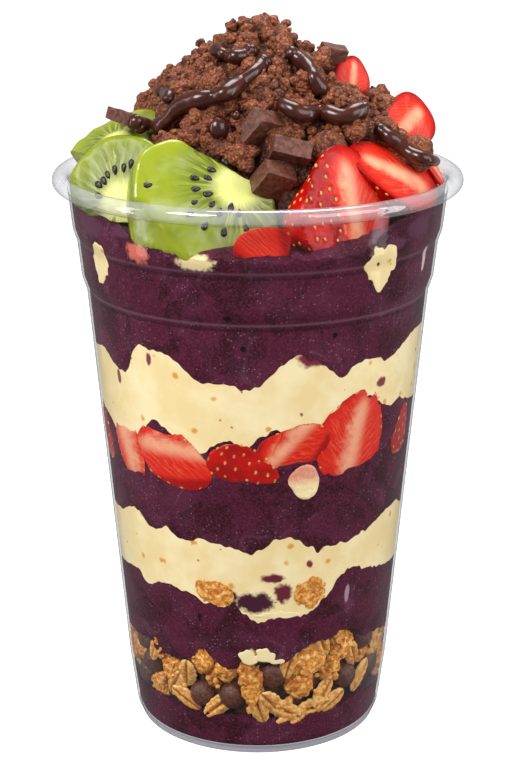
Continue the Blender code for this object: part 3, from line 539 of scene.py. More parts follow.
def limit_radius(height, reach):
    """The largest radius food may have: just into the wall, inside the bead, and over it."""
    bead_top = BEAD_CENTRE[1] + BEAD_RADIUS
    mouth = BEAD_CENTRE[0] - BEAD_RADIUS - BEAD_CLEARANCE
    wall = outer_radius(height) - WALL + reach
    return np.where(height < NECK_TOP, wall, np.where(height < bead_top, mouth, HEAP_RADIUS))


def keep_inside(points, reach):
    """Press points that pass the wall back onto it."""
    points = points.copy()
    radius = np.hypot(points[:, 0], points[:, 1])
    limit = limit_radius(points[:, 2], reach)
    share = np.where(radius > limit, limit / np.maximum(radius, 1e-6), 1.0)
    points[:, :2] *= share[:, None]
    return points


def settle_fruit(points, reach):
    """Press fruit onto the wall, and behind the acai where it dips below the crown's edge."""
    turns = np.degrees(np.arctan2(points[:, 0], -points[:, 1]))
    above = points[:, 2] - border_at_wall(ACAI_CROWN_TOP, turns)
    return keep_inside(points, np.where(above < 0.0, HIDDEN_REACH, reach))


def on_circle(turn, radius, height):
    angle = np.radians(turn)
    return np.stack(np.broadcast_arrays(radius * np.sin(angle), -radius * np.cos(angle), height), axis=-1)


def pose(centre, turn, lean, roll):
    """Puts a face that looks along -Y at a centre, turned round the cup, leant back and rolled."""
    facing = (Matrix.Rotation(math.radians(turn), 4, "Z") @ Matrix.Rotation(math.radians(-lean), 4, "X")
              @ Matrix.Rotation(math.radians(roll), 4, "Y"))
    return Matrix.Translation(centre) @ facing


def from_front(turn):
    """A turn as degrees from the front, between -180 and 180."""
    return (np.asarray(turn, float) + 180.0) % 360.0 - 180.0


def on_wall(points, turn, height, back, roll, reach):
    """Bend a small piece round the wall: its front looks outwards at a turn and a height."""
    angle = math.radians(roll)
    across = points[:, 0] * math.cos(angle) + points[:, 2] * math.sin(angle)
    up = points[:, 2] * math.cos(angle) - points[:, 0] * math.sin(angle)
    heights = np.maximum(height + up, FLOOR_TOP + 0.2)
    wall = outer_radius(heights) - WALL
    radius = np.minimum(wall - back - points[:, 1], wall + reach)
    turns = turn + np.degrees(across / float(outer_radius(height)))
    return on_circle(turns, radius, heights)


def border_at_wall(border, turn):
    """Height of a border at the wall. The back repeats the front mirrored, with a slow sway of its own."""
    turn = from_front(turn)
    front = np.where(np.abs(turn) <= 90.0, turn, np.copysign(180.0, turn) - turn)
    turns, heights = np.array(border, float).T
    fine = np.interp(front, turns, heights)
    soft = sum(np.interp(front + step, turns, heights) for step in (-1.6, -0.8, 0.8, 1.6))
    behind = np.maximum(0.0, -np.cos(np.radians(turn)))
    angle = np.radians(turn)
    sway = np.sin(3 * angle + heights[0]) + 0.7 * np.sin(5 * angle + 2 * heights[0])
    spots = on_circle(turn, 38.0, heights[0])
    ragged = 0.42 * ripple(spots, 2.2, int(heights[0] * 10))
    ragged = ragged + 0.3 * ripple(spots, 0.9, int(heights[0] * 7))
    calm = 0.25 + 0.75 * np.abs(np.cos(angle)) ** 1.5
    return (fine + soft) / 5.0 + behind * BACK_SWAY * sway + calm * ragged


CAMERA_FORWARD = np.array([0.0, math.cos(CAMERA_PITCH), -math.sin(CAMERA_PITCH)])
CAMERA_UP = np.array([0.0, math.sin(CAMERA_PITCH), math.cos(CAMERA_PITCH)])


def sight_line(x, y):
    """Direction from the camera through a pixel of the photograph."""
    across = (x - AXIS_PIXEL) / FOCAL_PIXELS
    down = (y - IMAGE_SIZE[1] / 2) / FOCAL_PIXELS
    direction = CAMERA_FORWARD + np.array([across, 0.0, 0.0]) - CAMERA_UP * down
    return Vector(direction / np.linalg.norm(direction))


# Materials

def paint_film(name, clear, gloss, roughness, least, most, milk_and_shade=None):
    """Clear film whose reflections grow from least to most towards its edges. Thick plastic, as at the rolled
    rim and the foot, has a share of milk in it. At the foot that share is dark grey-lilac: painted shade,
    tinted by the acai seen through it."""
    paint = Paint(name)
    body = paint.add("BsdfTransparent", {"Color": clear})
    shine = paint.add("BsdfGlossy", {"Color": gloss, "Roughness": roughness})
    if milk_and_shade:
        cloudy_and_shaded = paint.add("BsdfDiffuse", {"Color": milk_and_shade[1]})
        body = paint.add("MixShader", {0: milk_and_shade[0], 1: body.outputs[0], 2: cloudy_and_shaded.outputs[0]})
    glance = paint.add("LayerWeight", {"Blend": 0.5}).outputs["Facing"]
    share = paint.plus(paint.times(paint.maths("POWER", glance, 4.0), most - least), least)
    film = paint.add("MixShader", {0: share, 1: body.outputs[0], 2: shine.outputs[0]})
    paint.links.new(film.outputs[0], paint.nodes["Material Output"].inputs["Surface"])
    return paint.material


def paint_acai():
    """Dark purple ice: clouds, frost with light specks and painted glints on them, and painted highlight and
    shade lines where the ledges bend what is seen of it.
    """
    paint = Paint("acai", Roughness=0.6, Specular_IOR_Level=0.12)
    spot = paint.place()
    cloud = paint.span(paint.noise(12 * MM, spot, 4, 0.6, 1.2), 0.42, 0.56)
    frost = paint.span(paint.noise(9 * MM, spot, 3, 0.5), 0.46, 0.66)
    grain = paint.noise(0.55 * MM, spot, 6, 0.75)
    base = paint.mix(cloud, (52, 4, 20), (80, 19, 44))
    base = paint.wash(base, (122, 54, 82), grain, 0.46, 0.7, 0.65)
    base = paint.wash(base, (28, 2, 12), grain, 0.46, 0.3, 0.6)
    base = paint.mix(paint.times(frost, 0.16), base, (112, 62, 88))
    swirl = paint.maths("ABSOLUTE", paint.less(paint.noise(16 * MM, spot, 1, 0.4, 0.8), 0.5))
    swirl = paint.times(paint.span(swirl, 0.02, 0.004, 0.0, 0.1), frost)
    base = paint.mix(swirl, base, (168, 118, 146))
    # Specks of frost in a few cells, lightened as painted glints
    distance, number = paint.cells(0.6 * MM, spot)
    rare = paint.maths("GREATER_THAN", number, paint.span(frost, 0.0, 1.0, 0.95, 0.74))
    frost_specks_and_glints = paint.times(paint.span(distance, 0.34, 0.14), rare)
    base = paint.mix(paint.times(frost_specks_and_glints, 0.6), base, (186, 132, 160))
    height = paint.parts(spot)[2]
    # Painted highlight lines and painted shade lines along the ledges
    for level, tint in LEDGE_HIGHLIGHT_AND_SHADE_LINES:
        away = paint.maths("ABSOLUTE", paint.less(height, level * MM))
        base = paint.wash(base, tint, away, 0.55 * MM, 0.1 * MM, 0.5)
    return paint.finish(paint.smears_and_pit_shade(base, spot, ACAI_SMEARS_AND_PIT_SHADE), grain, 0.4, 0.9)


def paint_cream():
    """Pale cream with flecks of amber and berry."""
    paint = Paint("cream", Roughness=0.42, Specular_IOR_Level=0.3)
    spot = paint.place()
    cloud = paint.span(paint.noise(8 * MM, spot, 4), 0.35, 0.7)
    base = paint.mix(cloud, (240, 216, 156), (250, 232, 184))
    bent = paint.bent(spot, 2.0 * MM, 1.1 * MM)
    for size, reach, left_out, tint in CREAM_FLECKS:
        distance, number = paint.cells(size * MM, bent)
        lone = paint.maths("GREATER_THAN", number, left_out)
        fleck = paint.times(paint.span(distance, reach, reach * 0.35), lone)
        base = paint.mix(paint.times(fleck, 0.95), base, tint)
    return paint.finish(paint.smears_and_pit_shade(base, spot, CREAM_SMEARS), cloud, 0.3, 0.12)


def paint_strawberry():
    """Red skin, and a cut face that pales in streaks towards its middle. Coordinates: across, cut, along."""
    paint = Paint("strawberry", Roughness=0.36, Specular_IOR_Level=0.16, Coat_Weight=0.12,
                  Coat_Roughness=0.06)
    across, cut, along = paint.parts(paint.place("berry"))
    spot = paint.place()
    skin = paint.mix(paint.span(paint.noise(5 * MM, spot, 4), 0.35, 0.7), (156, 6, 6), (196, 16, 10))
    skin = paint.wash(skin, (232, 150, 110), along, -0.55, -1.0, 0.8)
    sway = paint.times(paint.less(paint.noise(3.0 * MM, spot, 5, 0.6), 0.5), 0.55)
    sideways = paint.maths("ABSOLUTE", paint.plus(across, paint.times(sway, 0.5)))
    edge = paint.plus(paint.length(across, along), paint.times(sway, 0.35))
    slant = paint.less(along, paint.times(sideways, 0.9))
    rays = paint.rays(paint.times(slant, 3.4), paint.times(across, 0.5), 0.22, 4)
    middle = paint.plus(paint.span(sideways, 0.46, 0.0), paint.times(sway, 2.0))
    middle = paint.times(middle, paint.span(edge, 0.95, 0.55))
    streaks = paint.times(paint.span(rays, 0.45, 0.66), paint.span(edge, 0.94, 0.5))
    flesh = paint.mix(paint.span(edge, 0.98, 0.76), (160, 6, 6), (212, 30, 14))
    flesh = paint.mix(paint.times(streaks, 0.6), flesh, (238, 104, 66))
    flesh = paint.wash(flesh, (244, 184, 144), middle, 0.1, 1.25, 0.8)
    opened = paint.span(cut, 0.3, 0.7)
    relief = paint.mix(opened, paint.noise(1.3 * MM, spot, 3), rays)
    return paint.finish(paint.mix(opened, skin, flesh), relief, 0.35, 0.6)


def paint_kiwi():
    """Cut kiwi: a pale core, light rays, darker green outwards. Coordinates: across, skin, up."""
    paint = Paint("kiwi", Roughness=0.25, Specular_IOR_Level=0.5, Coat_Weight=0.2, Coat_Roughness=0.12)
    across, side, up = paint.parts(paint.place("slice"))
    angle = paint.maths("ARCTAN2", across, up)
    reach = paint.length(across, up)
    rays = paint.rays(paint.times(angle, 5.0), paint.times(reach, 0.7), 0.5, 3)
    cloud = paint.noise(4 * MM, paint.place(), 4)
    flesh = paint.mix(paint.span(reach, 0.45, 1.1), (92, 106, 4), (140, 152, 24))
    lit = paint.times(paint.span(rays, 0.46, 0.62, 0.0, 0.7), paint.span(reach, 1.05, 0.35))
    flesh = paint.mix(lit, flesh, (178, 182, 68))
    flesh = paint.wash(flesh, (82, 110, 4), cloud, 0.5, 0.8, 0.35)
    edge = paint.plus(reach, paint.times(paint.less(rays, 0.5), 0.3))
    flesh = paint.wash(flesh, (214, 218, 124), edge, 0.42, 0.2)
    rim = paint.mix(paint.span(cloud, 0.3, 0.7), (118, 130, 12), (150, 160, 34))
    return paint.finish(paint.mix(paint.span(side, 0.2, 0.8), flesh, rim), rays, 0.3, 0.5)


def paint_granola():
    """Baked grains from brown to gold, with a painted highlight on the lightest spots of the grain."""
    paint = Paint("granola", Roughness=0.62, Specular_IOR_Level=0.35)
    spot = paint.place()
    grain = paint.noise(1.1 * MM, spot, 5, 0.65)
    base = paint.mix(paint.span(grain, 0.36, 0.62), (184, 102, 28), (244, 174, 78))
    # Painted highlight on the lightest spots of the grain
    base = paint.wash(base, (255, 222, 150), grain, 0.54, 0.7)
    base = paint.wash(base, (156, 84, 30), paint.noise(5 * MM, spot, 3), 0.58, 0.74, 0.5)
    return paint.finish(base, grain, 0.5, 1.0)


def paint_oat():
    """Rolled oat, paler at its rim and darker in its groove. Coordinates: across, towards the rim."""
    paint = Paint("oat", Roughness=0.6, Specular_IOR_Level=0.35)
    across, rim, _ = paint.parts(paint.place("flake"))
    grain = paint.noise(0.9 * MM, paint.place(), 5, 0.65)
    base = paint.mix(paint.span(grain, 0.36, 0.66), (206, 128, 48), (248, 194, 108))
    base = paint.wash(base, (255, 224, 156), rim, 0.78, 1.0, 0.6)
    base = paint.wash(base, (142, 74, 22), across, 0.2, 0.05, 0.8)
    return paint.finish(base, grain, 0.4, 0.9)


def paint_plain(name, dark, light, size, roughness, depth=0.2, **settings):
    """An uneven colour with a fine grain."""
    paint = Paint(name, Roughness=roughness, **settings)
    grain = paint.noise(size * MM, paint.place(), 5, 0.65)
    return paint.finish(paint.mix(paint.span(grain, 0.36, 0.66), dark, light), grain, depth, 0.7)


def paint_brownie(name, shade):
    """Crumbly chocolate cake with a painted highlight on its grain and painted shade in the gaps between its
    granules, darkened by a share where it lies in the shade of the lumps.
    """
    paint = Paint(name, Roughness=0.6, Specular_IOR_Level=0.35)
    spot = paint.place()
    distance, _ = paint.cells(0.95 * MM, paint.bent(spot, 0.9 * MM, 0.5 * MM))
    grain = paint.noise(0.5 * MM, spot, 5, 0.7)
    base = paint.mix(paint.span(grain, 0.36, 0.62), (96, 44, 26), (160, 90, 54))
    base = paint.wash(base, (70, 30, 20), paint.noise(4 * MM, spot, 4), 0.5, 0.66, 0.75)
    # Painted highlight on the lightest spots of the grain
    base = paint.wash(base, (216, 146, 98), grain, 0.56, 0.7, 0.8)
    # Painted shade in the gaps between the granules
    base = paint.mix(paint.times(paint.span(distance, 0.46, 0.82), 0.55), base, (30, 11, 8))
    base = paint.mix(shade, base, (26, 10, 8))
    return paint.finish(base, paint.less(paint.times(grain, 0.4), distance), 0.75, 1.0)


def paint_pale_bit():
    """A bit of fruit, pinkish above and covered with cream below."""
    paint = Paint("pale_fruit", Roughness=0.35, Specular_IOR_Level=0.35)
    spot = paint.place()
    cloud = paint.noise(2.5 * MM, spot, 4)
    height = paint.plus(paint.parts(spot)[2], paint.times(cloud, 4.0 * MM))
    base = paint.mix(paint.span(height, 73.6 * MM, 76.4 * MM), (248, 226, 172), (222, 146, 120))
    base = paint.wash(base, (244, 196, 168), paint.noise(1.2 * MM, spot, 5), 0.5, 0.75, 0.5)
    return paint.finish(base, cloud, 2.0, 0.3)


# Thick plastic: clear colour, gloss and its roughness
THICK = ((0.97, 0.97, 0.98, 1.0), (0.95, 0.95, 0.97, 1.0), 0.04)
PLASTIC = paint_film("clear_plastic", (0.985, 0.985, 0.99, 1.0), (0.5, 0.5, 0.52, 1.0), 0.06, 0.018, 0.8)
BEAD = paint_film("bead_plastic", *THICK, 0.06, 0.9, (0.13, (0.88, 0.9, 0.93, 1.0)))
# The foot's share of milk is dark grey-lilac: painted shade, tinted by the acai seen through the foot
FOOT = paint_film("foot_plastic", *THICK, 0.05, 0.9, (0.6, (0.3, 0.28, 0.34, 1.0)))
ACAI = paint_acai()
CREAM = paint_cream()
STRAWBERRY = paint_strawberry()
KIWI = paint_kiwi()
GRANOLA = paint_granola()
GRANOLA_SHADE = paint_plain("granola_shade", (46, 20, 18), (90, 50, 24), 2.0, 0.8)
OAT = paint_oat()
BROWNIE = paint_brownie("brownie", 0.0)
BROWNIE_SHADE = paint_brownie("brownie_shade", 0.72)
CHOCOLATE = paint_plain("chocolate", (70, 35, 25), (112, 66, 50), 1.1, 0.45)
BALL_COAT = paint_plain("chocolate_ball", (58, 24, 14), (112, 60, 38), 0.7, 0.3, 0.45)
SAUCE = paint_plain("chocolate_sauce", (48, 16, 10), (70, 26, 15), 3.0, 0.24, 0.02,
                    Specular_IOR_Level=0.4, Coat_Weight=0.1, Coat_Roughness=0.1)
ACHENE = paint_plain("strawberry_seed", (206, 128, 40), (238, 186, 90), 0.6, 0.4)
KIWI_SEED = paint_plain("kiwi_seed", (18, 10, 8), (40, 26, 20), 0.6, 0.22)
PALE_FRUIT = paint_pale_bit()


# The cup

def round_corners(profile, reach=0.7, steps=4):
    """A profile with each corner turned into a short curve."""
    points = [np.array(point, float) for point in profile]
    rounded = [points[0]]
    for before, corner, after in zip(points, points[1:], points[2:]):
        to_before = before - corner
        to_after = after - corner
        step_before = min(reach, 0.45 * np.linalg.norm(to_before)) / np.linalg.norm(to_before)
        step_after = min(reach, 0.45 * np.linalg.norm(to_after)) / np.linalg.norm(to_after)
        start = corner + to_before * step_before
        end = corner + to_after * step_after
        for share in np.linspace(0.0, 1.0, steps + 1):
            rounded.append((1 - share) ** 2 * start + 2 * share * (1 - share) * corner + share ** 2 * end)
    rounded.append(points[-1])
    return rounded


def make_cup():
    """The cup as one turned solid: floor, inside, rolled bead, outside and foot ring."""
    wall = [(radius, height) for height, radius in OUTER_WALL]
    inside = [(radius - WALL, height) for radius, height in wall if height > FLOOR_TOP]
    bead = []
    for angle in range(180, -121, -12):
        turn = math.radians(angle)
        bead.append((BEAD_CENTRE[0] + BEAD_RADIUS * math.cos(turn),
                     BEAD_CENTRE[1] + BEAD_RADIUS * math.sin(turn)))
    foot_inner = wall[0][0] - FOOT_RING_WIDTH
    inner = round_corners([(0.001, FLOOR_TOP), (inside[0][0] - WALL, FLOOR_TOP)] + inside)
    outer = round_corners(wall[::-1] + [(foot_inner, 0.0), (foot_inner - 1.0, FLOOR_UNDERSIDE),
                                        (0.001, FLOOR_UNDERSIDE)], reach=0.5)
    turns = np.arange(TURN_STEPS) * 360.0 / TURN_STEPS
    rings = [on_circle(turns, radius, height) for radius, height in (inner + bead + outer)[::-1]]
    cup = add_piece("cup_clear", loft(rings), PLASTIC, ["cup"], sharp=50)
    cup.data.materials.append(BEAD)
    cup.data.materials.append(FOOT)
    for face in cup.data.polygons:
        if face.center.z > (NECK_TOP + 0.2) * MM:
            face.material_index = 1
        elif face.center.z < FLOOR_TOP * MM:
            face.material_index = 2


# The layers

def make_layer(name, low, high, material, ledges=(), inner_level=None, top_relief=0.0):
    """A layer as a loft: under side, wall, upper side. Low and high are borders or plain heights."""
    turns = np.arange(LAYER_STEPS) * 360.0 / LAYER_STEPS

    def edge(side):
        if isinstance(side, (int, float)):
            return np.full(LAYER_STEPS, float(side)), float(side)
        heights = border_at_wall(side, turns)
        return heights, float(heights.mean())

    def ring(heights, share):
        return on_circle(turns, share * (outer_radius(heights) - WALL + LAYER_REACH), heights)

    low_edge, low_level = edge(low)
    high_edge, high_level = edge(high)
    if inner_level is not None:
        high_level = inner_level
    if ledges:
        levels = [ledge + step for ledge in ledges for step in (-0.5, 0.0, 0.5)]
        wall = [low_edge] + [np.clip(level, low_edge, high_edge) for level in levels] + [high_edge]
    else:
        wall = [low_edge + (high_edge - low_edge) * share for share in (0.0, 0.12, 0.3, 0.5, 0.7, 0.88, 1.0)]
    rings = [ring(low_level + (low_edge - low_level) * share ** 4, share) for share in (0.25, 0.8, 0.93)]
    rings += [ring(heights, 1.0) for heights in wall]
    for share in (0.985, 0.96, 0.93, 0.88, 0.8, 0.7, 0.5, 0.25):
        spots = ring(high_level + (high_edge - high_level) * share ** 12, share)
        if top_relief:
            spots[:, 2] += top_relief * (1 - share ** 8) * ripple(spots, 6.0, 5) + 0.2 * ripple(spots, 1.4, 6)
        rings.append(spots)
    add_piece(name + "_filling", loft(rings), material, [name], sharp=40)


def make_layers():
    make_layer("acai_base", FLOOR_TOP - 0.1, ACAI_BASE_TOP, ACAI)
    make_layer("acai_lower", GRANOLA_TOP, ACAI_LOWER_TOP, ACAI)
    make_layer("cream_lower", ACAI_LOWER_TOP, CREAM_LOWER_TOP, CREAM)
    make_layer("acai_middle", CREAM_LOWER_TOP, ACAI_MIDDLE_TOP, ACAI)
    make_layer("cream_upper", ACAI_MIDDLE_TOP, CREAM_UPPER_TOP, CREAM)
    make_layer("acai_crown", CREAM_UPPER_TOP, ACAI_CROWN_TOP, ACAI, LEDGES, inner_level=CROWN_LEVEL,
               top_relief=0.5)


# Strawberries

def half_berry(length, width, depth, detail, seed, uneven):
    """A halved strawberry whose cut face looks along -Y and whose tip points up: points, faces, and
    coordinates to paint by."""
    points, faces = ball(detail)
    across, along = points[:, 0], points[:, 2]
    shoulder = 1.12 - 0.42 * (along + 1.0) / 2.0
    cut = points[:, 1] < 0.0
    shape = np.empty_like(points)
    shape[:, 0] = across * shoulder * width / 2.0
    shape[:, 1] = np.where(cut, 0.05, 1.0) * points[:, 1] * shoulder * depth
    shape[:, 2] = along * length / 2.0
    shape += uneven * width * ripple(shape, width * 0.5, seed)[:, None] * points
    paint = np.stack([across, np.where(points[:, 1] < 0.02, 1.0, 0.0), along], axis=1)
    return shape, faces, paint


def berry_seeds(shape, faces, paint, rng):
    """The skin with hollows in it, and the seeds that sit in them, spread some way apart."""
    skin = np.flatnonzero(paint[:, 1] < 0.5)
    rng.shuffle(skin)
    ends = 0.93 * np.abs(shape[:, 2]).max()
    chosen = []
    for index in skin:
        far = all(np.linalg.norm(shape[index] - shape[other]) > ACHENE_SPACING for other in chosen)
        if far and abs(shape[index][2]) <= ends:
            chosen.append(index)
    hollowed = shape.copy()
    seeds = []
    base, seed_faces = ball(1)
    normals = point_normals(shape, faces)
    for index in chosen:
        normal = normals[index]
        distance = np.linalg.norm(shape - shape[index], axis=1)
        hollow = 0.42 * np.exp(-((distance / 0.85) ** 2))
        hollow[paint[:, 1] > 0.5] = 0.0
        hollowed -= hollow[:, None] * normals
        side = np.cross((0.0, 0.0, 1.0), normal)
        side /= np.linalg.norm(side) + 1e-6
        axes = np.array([side, normal, np.cross(normal, side)])
        seed = (base * ACHENE_SIZE / 2) @ axes
        seeds.append((seed + shape[index] - 0.22 * normal, seed_faces))
    return hollowed, seeds


def point_normals(points, faces):
    """Outward normals at a mesh's points."""
    corners = points[faces]
    normals = np.cross(corners[:, 1] - corners[:, 0], corners[:, 2] - corners[:, 0])
    total = np.zeros_like(points)
    for corner in range(3):
        np.add.at(total, faces[:, corner], normals)
    return total / np.maximum(np.linalg.norm(total, axis=1)[:, None], 1e-9)


def turn_skin(shape, paint, width):
    """Let the skin reach round over the left of the cut face."""
    over = np.clip(-0.16 - 0.06 * paint[:, 2] - paint[:, 0], 0.0, 1.0) * (paint[:, 1] > 0.5)
    shape[:, 1] += 0.06 * width * over
    paint[over > 0.01, 1] = 0.0


def make_berry(name, settle, size, detail, seed):
    """A halved strawberry put in its place by a function. Returns its seeds in their places."""
    shape, faces, paint = half_berry(*size, detail, seed, 0.06 if name.startswith("band") else 0.04)
    if name == "strawberry_front":
        turn_skin(shape, paint, size[1])
    if name in BERRY_COLOURS:
        across, along = [paint[:, 0] * a + paint[:, 2] * b + shift for a, b, shift in BERRY_COLOURS[name]]
        paint[:, 0], paint[:, 2] = across, along
    hollowed, seeds = berry_seeds(shape, faces, paint, np.random.default_rng(seed))
    add_piece(name + "_half", (settle(hollowed), faces), STRAWBERRY, [name], 70,
              ("berry", paint))
    return [(settle(seed), seed_faces) for seed, seed_faces in seeds]


def settle_band(points, index):
    """Press a band strawberry on the wall, its ragged edge and what is covered of it behind the layers."""
    turn, height, length, width, depth, roll, swing = BAND_BERRIES[index]
    side = -1.0 if swing > 90 else 1.0
    edge = np.hypot(points[:, 0] / (0.5 * width), points[:, 2] / (0.5 * length))
    ragged = 0.09 * ripple(points, 3.2, 140 + index) + 0.04 * ripple(points, 1.2, 160 + index)
    angle = math.radians(roll)
    across = side * points[:, 0] * math.cos(angle) + points[:, 2] * math.sin(angle)
    up = points[:, 2] * math.cos(angle) - side * points[:, 0] * math.sin(angle)
    lap = edge - 0.88 + ragged
    for way, distance in BAND_COVERS.get(index, ()):
        way = math.radians(way)
        beyond = across * math.cos(way) + up * math.sin(way) - distance
        lap = np.maximum(lap, 0.3 * beyond + 1.6 * ragged)
    reach = FRUIT_REACH - 0.9 * np.clip(lap, 0.0, 0.6)
    back = -1.6 if side > 0 else 0.55 * depth
    return on_wall(points * (side, side, 1), turn, height, back, roll, reach)


def make_berries():
    """The halves pressed on the wall between the layers, then those on top."""
    seeds = []
    for index, row in enumerate(BAND_BERRIES):
        settle = functools.partial(settle_band, index=index)
        seeds += make_berry(f"band_strawberry_{index + 1:02d}", settle, row[2:5], 4, 40 + index)
    add_piece("band_strawberry_seeds", join(seeds), ACHENE)
    seeds = []
    for index, (name, centre, turn, lean, roll, size) in enumerate(BERRIES):
        matrix = pose(centre, turn, lean, roll)
        seeds += make_berry(name, lambda points: settle_fruit(place(points, matrix), FRUIT_REACH), size,
                            5 if index < 2 else 4, 70 + index)
    add_piece("top_strawberry_seeds", join(seeds), ACHENE)


# Kiwis

def rounded(angles, squareness):
    """Points on a round outline of size 1 that is the squarer the higher its squareness."""
    def side(values):
        return np.copysign(np.abs(values) ** (2.0 / squareness), values)

    return side(np.cos(angles)), side(np.sin(angles))


def kiwi_slice(size, cut, seed):
    """A kiwi slice: its cut face looks along -Y, its rim is rounded and its lower edge is straight."""
    half_width, half_height, thickness, edge, squareness = size
    turns = np.arange(TURN_STEPS) * math.tau / TURN_STEPS
    across, up = rounded(turns, squareness)
    wobble = 1.0 + 0.012 * np.sin(3 * turns + seed) + 0.01 * np.sin(7 * turns + 2 * seed)
    section = [(share, 0.0) for share in (0.08, 0.2, 0.32, 0.44, 0.56, 0.68, 0.78, 0.86)]
    section += [(0.93 + 0.07 * math.sin(step), 0.1 * (1 - math.cos(step)))
                for step in np.linspace(0, 1.57, 5)]
    section += [(0.995, 0.3), (0.99, 0.5), (0.98, 0.7), (0.965, 0.85), (0.93, 0.95), (0.86, 1.0), (0.6, 1.0),
                (0.3, 1.0), (0.08, 1.0)]
    rings = [np.stack([share * half_width * across * wobble, np.full(TURN_STEPS, depth * thickness),
                       share * half_height * up * wobble], axis=1) for share, depth in section]
    points, faces = loft(rings)
    front = points[:, 1] < 0.12 * thickness
    points[:, 1] += np.where(front, 0.16 * ripple(points, 2.2, seed), 0.0)
    side = np.clip((points[:, 1] / thickness - 0.03) / 0.08, 0.0, 1.0)
    side *= points[:, 1] < 0.97 * thickness
    points[:, 2] = np.maximum(points[:, 2], -edge + 0.25 * ripple(points * (1, 1, 0), 3.0, seed + 1))
    if cut:
        angle = math.radians(cut[0])
        normal = np.array([math.cos(angle), 0.0, math.sin(angle)])
        beyond = np.maximum(points @ normal - cut[1] - 0.2 * ripple(points, 3.0, seed + 2), 0.0)
        points -= beyond[:, None] * normal
    return points, faces, side


def on_face(matrix, pixel):
    """Where the sight line through a pixel meets a cut face, in the face's own coordinates."""
    into = matrix.inverted()
    start = into @ Vector(CAMERA_PLACE)
    along = into.to_3x3() @ sight_line(*pixel)
    spot = start - along * (start.y / along.y)
    return spot.x, spot.z


def seed_spots(name, matrix, size, core, rng):
    """Where the seeds of a slice lie on its face: by the photograph in front, none on the slice at the left
    back, else round the core.
    """
    half_width, half_height, _, edge, _ = size
    if name in SEED_PIXELS:
        return [on_face(matrix, pixel) for pixel in SEED_PIXELS[name]]
    if name == "kiwi_left_back":
        return []
    spots = []
    for number in range(SEEDS_PER_SLICE):
        angle = (number + rng.uniform(-0.35, 0.35)) * math.tau * SEED_TURNS / SEEDS_PER_SLICE
        reach = rng.uniform(0.40, 0.50) if number % 3 else rng.uniform(0.52, 0.66)
        x = core[0] + reach * half_width * math.cos(angle)
        z = core[1] + reach * half_height * math.sin(angle)
        if z > -edge + 1.4:
            spots.append((x, z))
    return spots


def make_kiwis():
    """The slices, and the seeds on their faces."""
    seeds = []
    base, seed_faces = ball(2)
    taper = 1.0 + 0.35 * base[:, 0]
    tapered = base * np.stack([np.ones_like(taper), taper, taper], axis=1)
    for index, (name, centre, turn, lean, roll, size, core, cut) in enumerate(KIWIS):
        points, faces, side = kiwi_slice(size, cut, 90 + index)
        across = (points[:, 0] - core[0]) / size[0]
        up = (points[:, 2] - core[1]) / size[1]
        matrix = pose(centre, turn, lean, roll)
        add_piece(name + "_slice", (settle_fruit(place(points, matrix), FRUIT_REACH), faces), KIWI,
                  [name], paint=("slice", np.stack([across, side, up], axis=1)))
        rng = np.random.default_rng(120 + index)
        for x, z in seed_spots(name, matrix, size, core, rng):
            angle = math.atan2(z - core[1], x - core[0])
            seed = tapered * SEED_SIZE * rng.uniform(0.88, 1.12)
            turned = Matrix.Rotation(-angle + rng.uniform(-0.3, 0.3), 4, "Y")
            seed = place(place(seed, Matrix.Translation((x, 0.0, z)) @ turned), matrix)
            seeds.append((settle_fruit(seed, FRUIT_REACH + 0.05), seed_faces))
    add_piece("kiwi_seeds", join(seeds), KIWI_SEED)


# Granola

def cluster(radius, detail, seed, squash=(1.15, 0.8, 1.0), grain=1.5, rise=0.22, flaky=0.0):
    """A baked lump of grains, and of flakes that stand out by so many millimetres."""
    points, faces = ball(detail)
    shape = points * radius * np.array(squash)
    shape = shape + (points * (0.16 * radius * ripple(points * radius, radius * 0.9, seed))[:, None])
    relief = rise * radius * 0.5 * (granules(shape, grain, seed) - 0.6)
    relief += 0.12 * (granules(shape, grain * 0.5, seed + 3) - 0.5)
    if flaky:
        relief += flaky * (flakes(shape * (1.0, 1.0, 0.75), 1.25, seed + 7) - 0.5)
    return shape + points * relief[:, None], faces


def oat(length, width, thickness, detail):
    """A rolled oat, a flat oval with a groove along it and a ragged rim: points, faces, and coordinates to
    paint by."""
    points, faces = ball(detail)
    rim = np.hypot(points[:, 0], points[:, 2])
    flake = np.stack([np.abs(points[:, 0]), rim, points[:, 2]], axis=1)
    shape = points * (width / 2, thickness / 2, length / 2)
    shape[:, 0] *= 1.0 + 0.07 * rim * np.sin(17.0 * points[:, 2] + length)
    groove = 0.5 * thickness * np.exp(-((shape[:, 0] / (0.1 * width)) ** 2)) * np.sign(points[:, 1])
    shape[:, 1] -= groove * (1 - points[:, 2] ** 2)
    shape[:, 1] += 0.08 * width * (points[:, 0] ** 2)
    shape += points * (0.05 * ripple(shape, 0.8, int(length * 10)))[:, None]
    return shape, faces, flake


# What shows of the granola. Balls: turn, height. Clusters: turn, height, radius. Oats: turn, height, roll
BALLS = ((6.8, 21.2), (-12.2, 15.0), (-27.1, 14.3), (45.2, 16.9), (-58.3, 18.6), (-66, 13.6), (-63.0, 24.0),
         (65.3, 16.7), (56.8, 25.6), (92, 18), (118, 14), (137, 22), (163, 16), (-172, 20), (-146, 14),
         (-118, 21), (-95, 15))
BALL_RADIUS = 3.9
CLUSTER_SHARP = 48
# Millimetres along the wall of the granola to a degree
MM_PER_DEGREE = 0.58
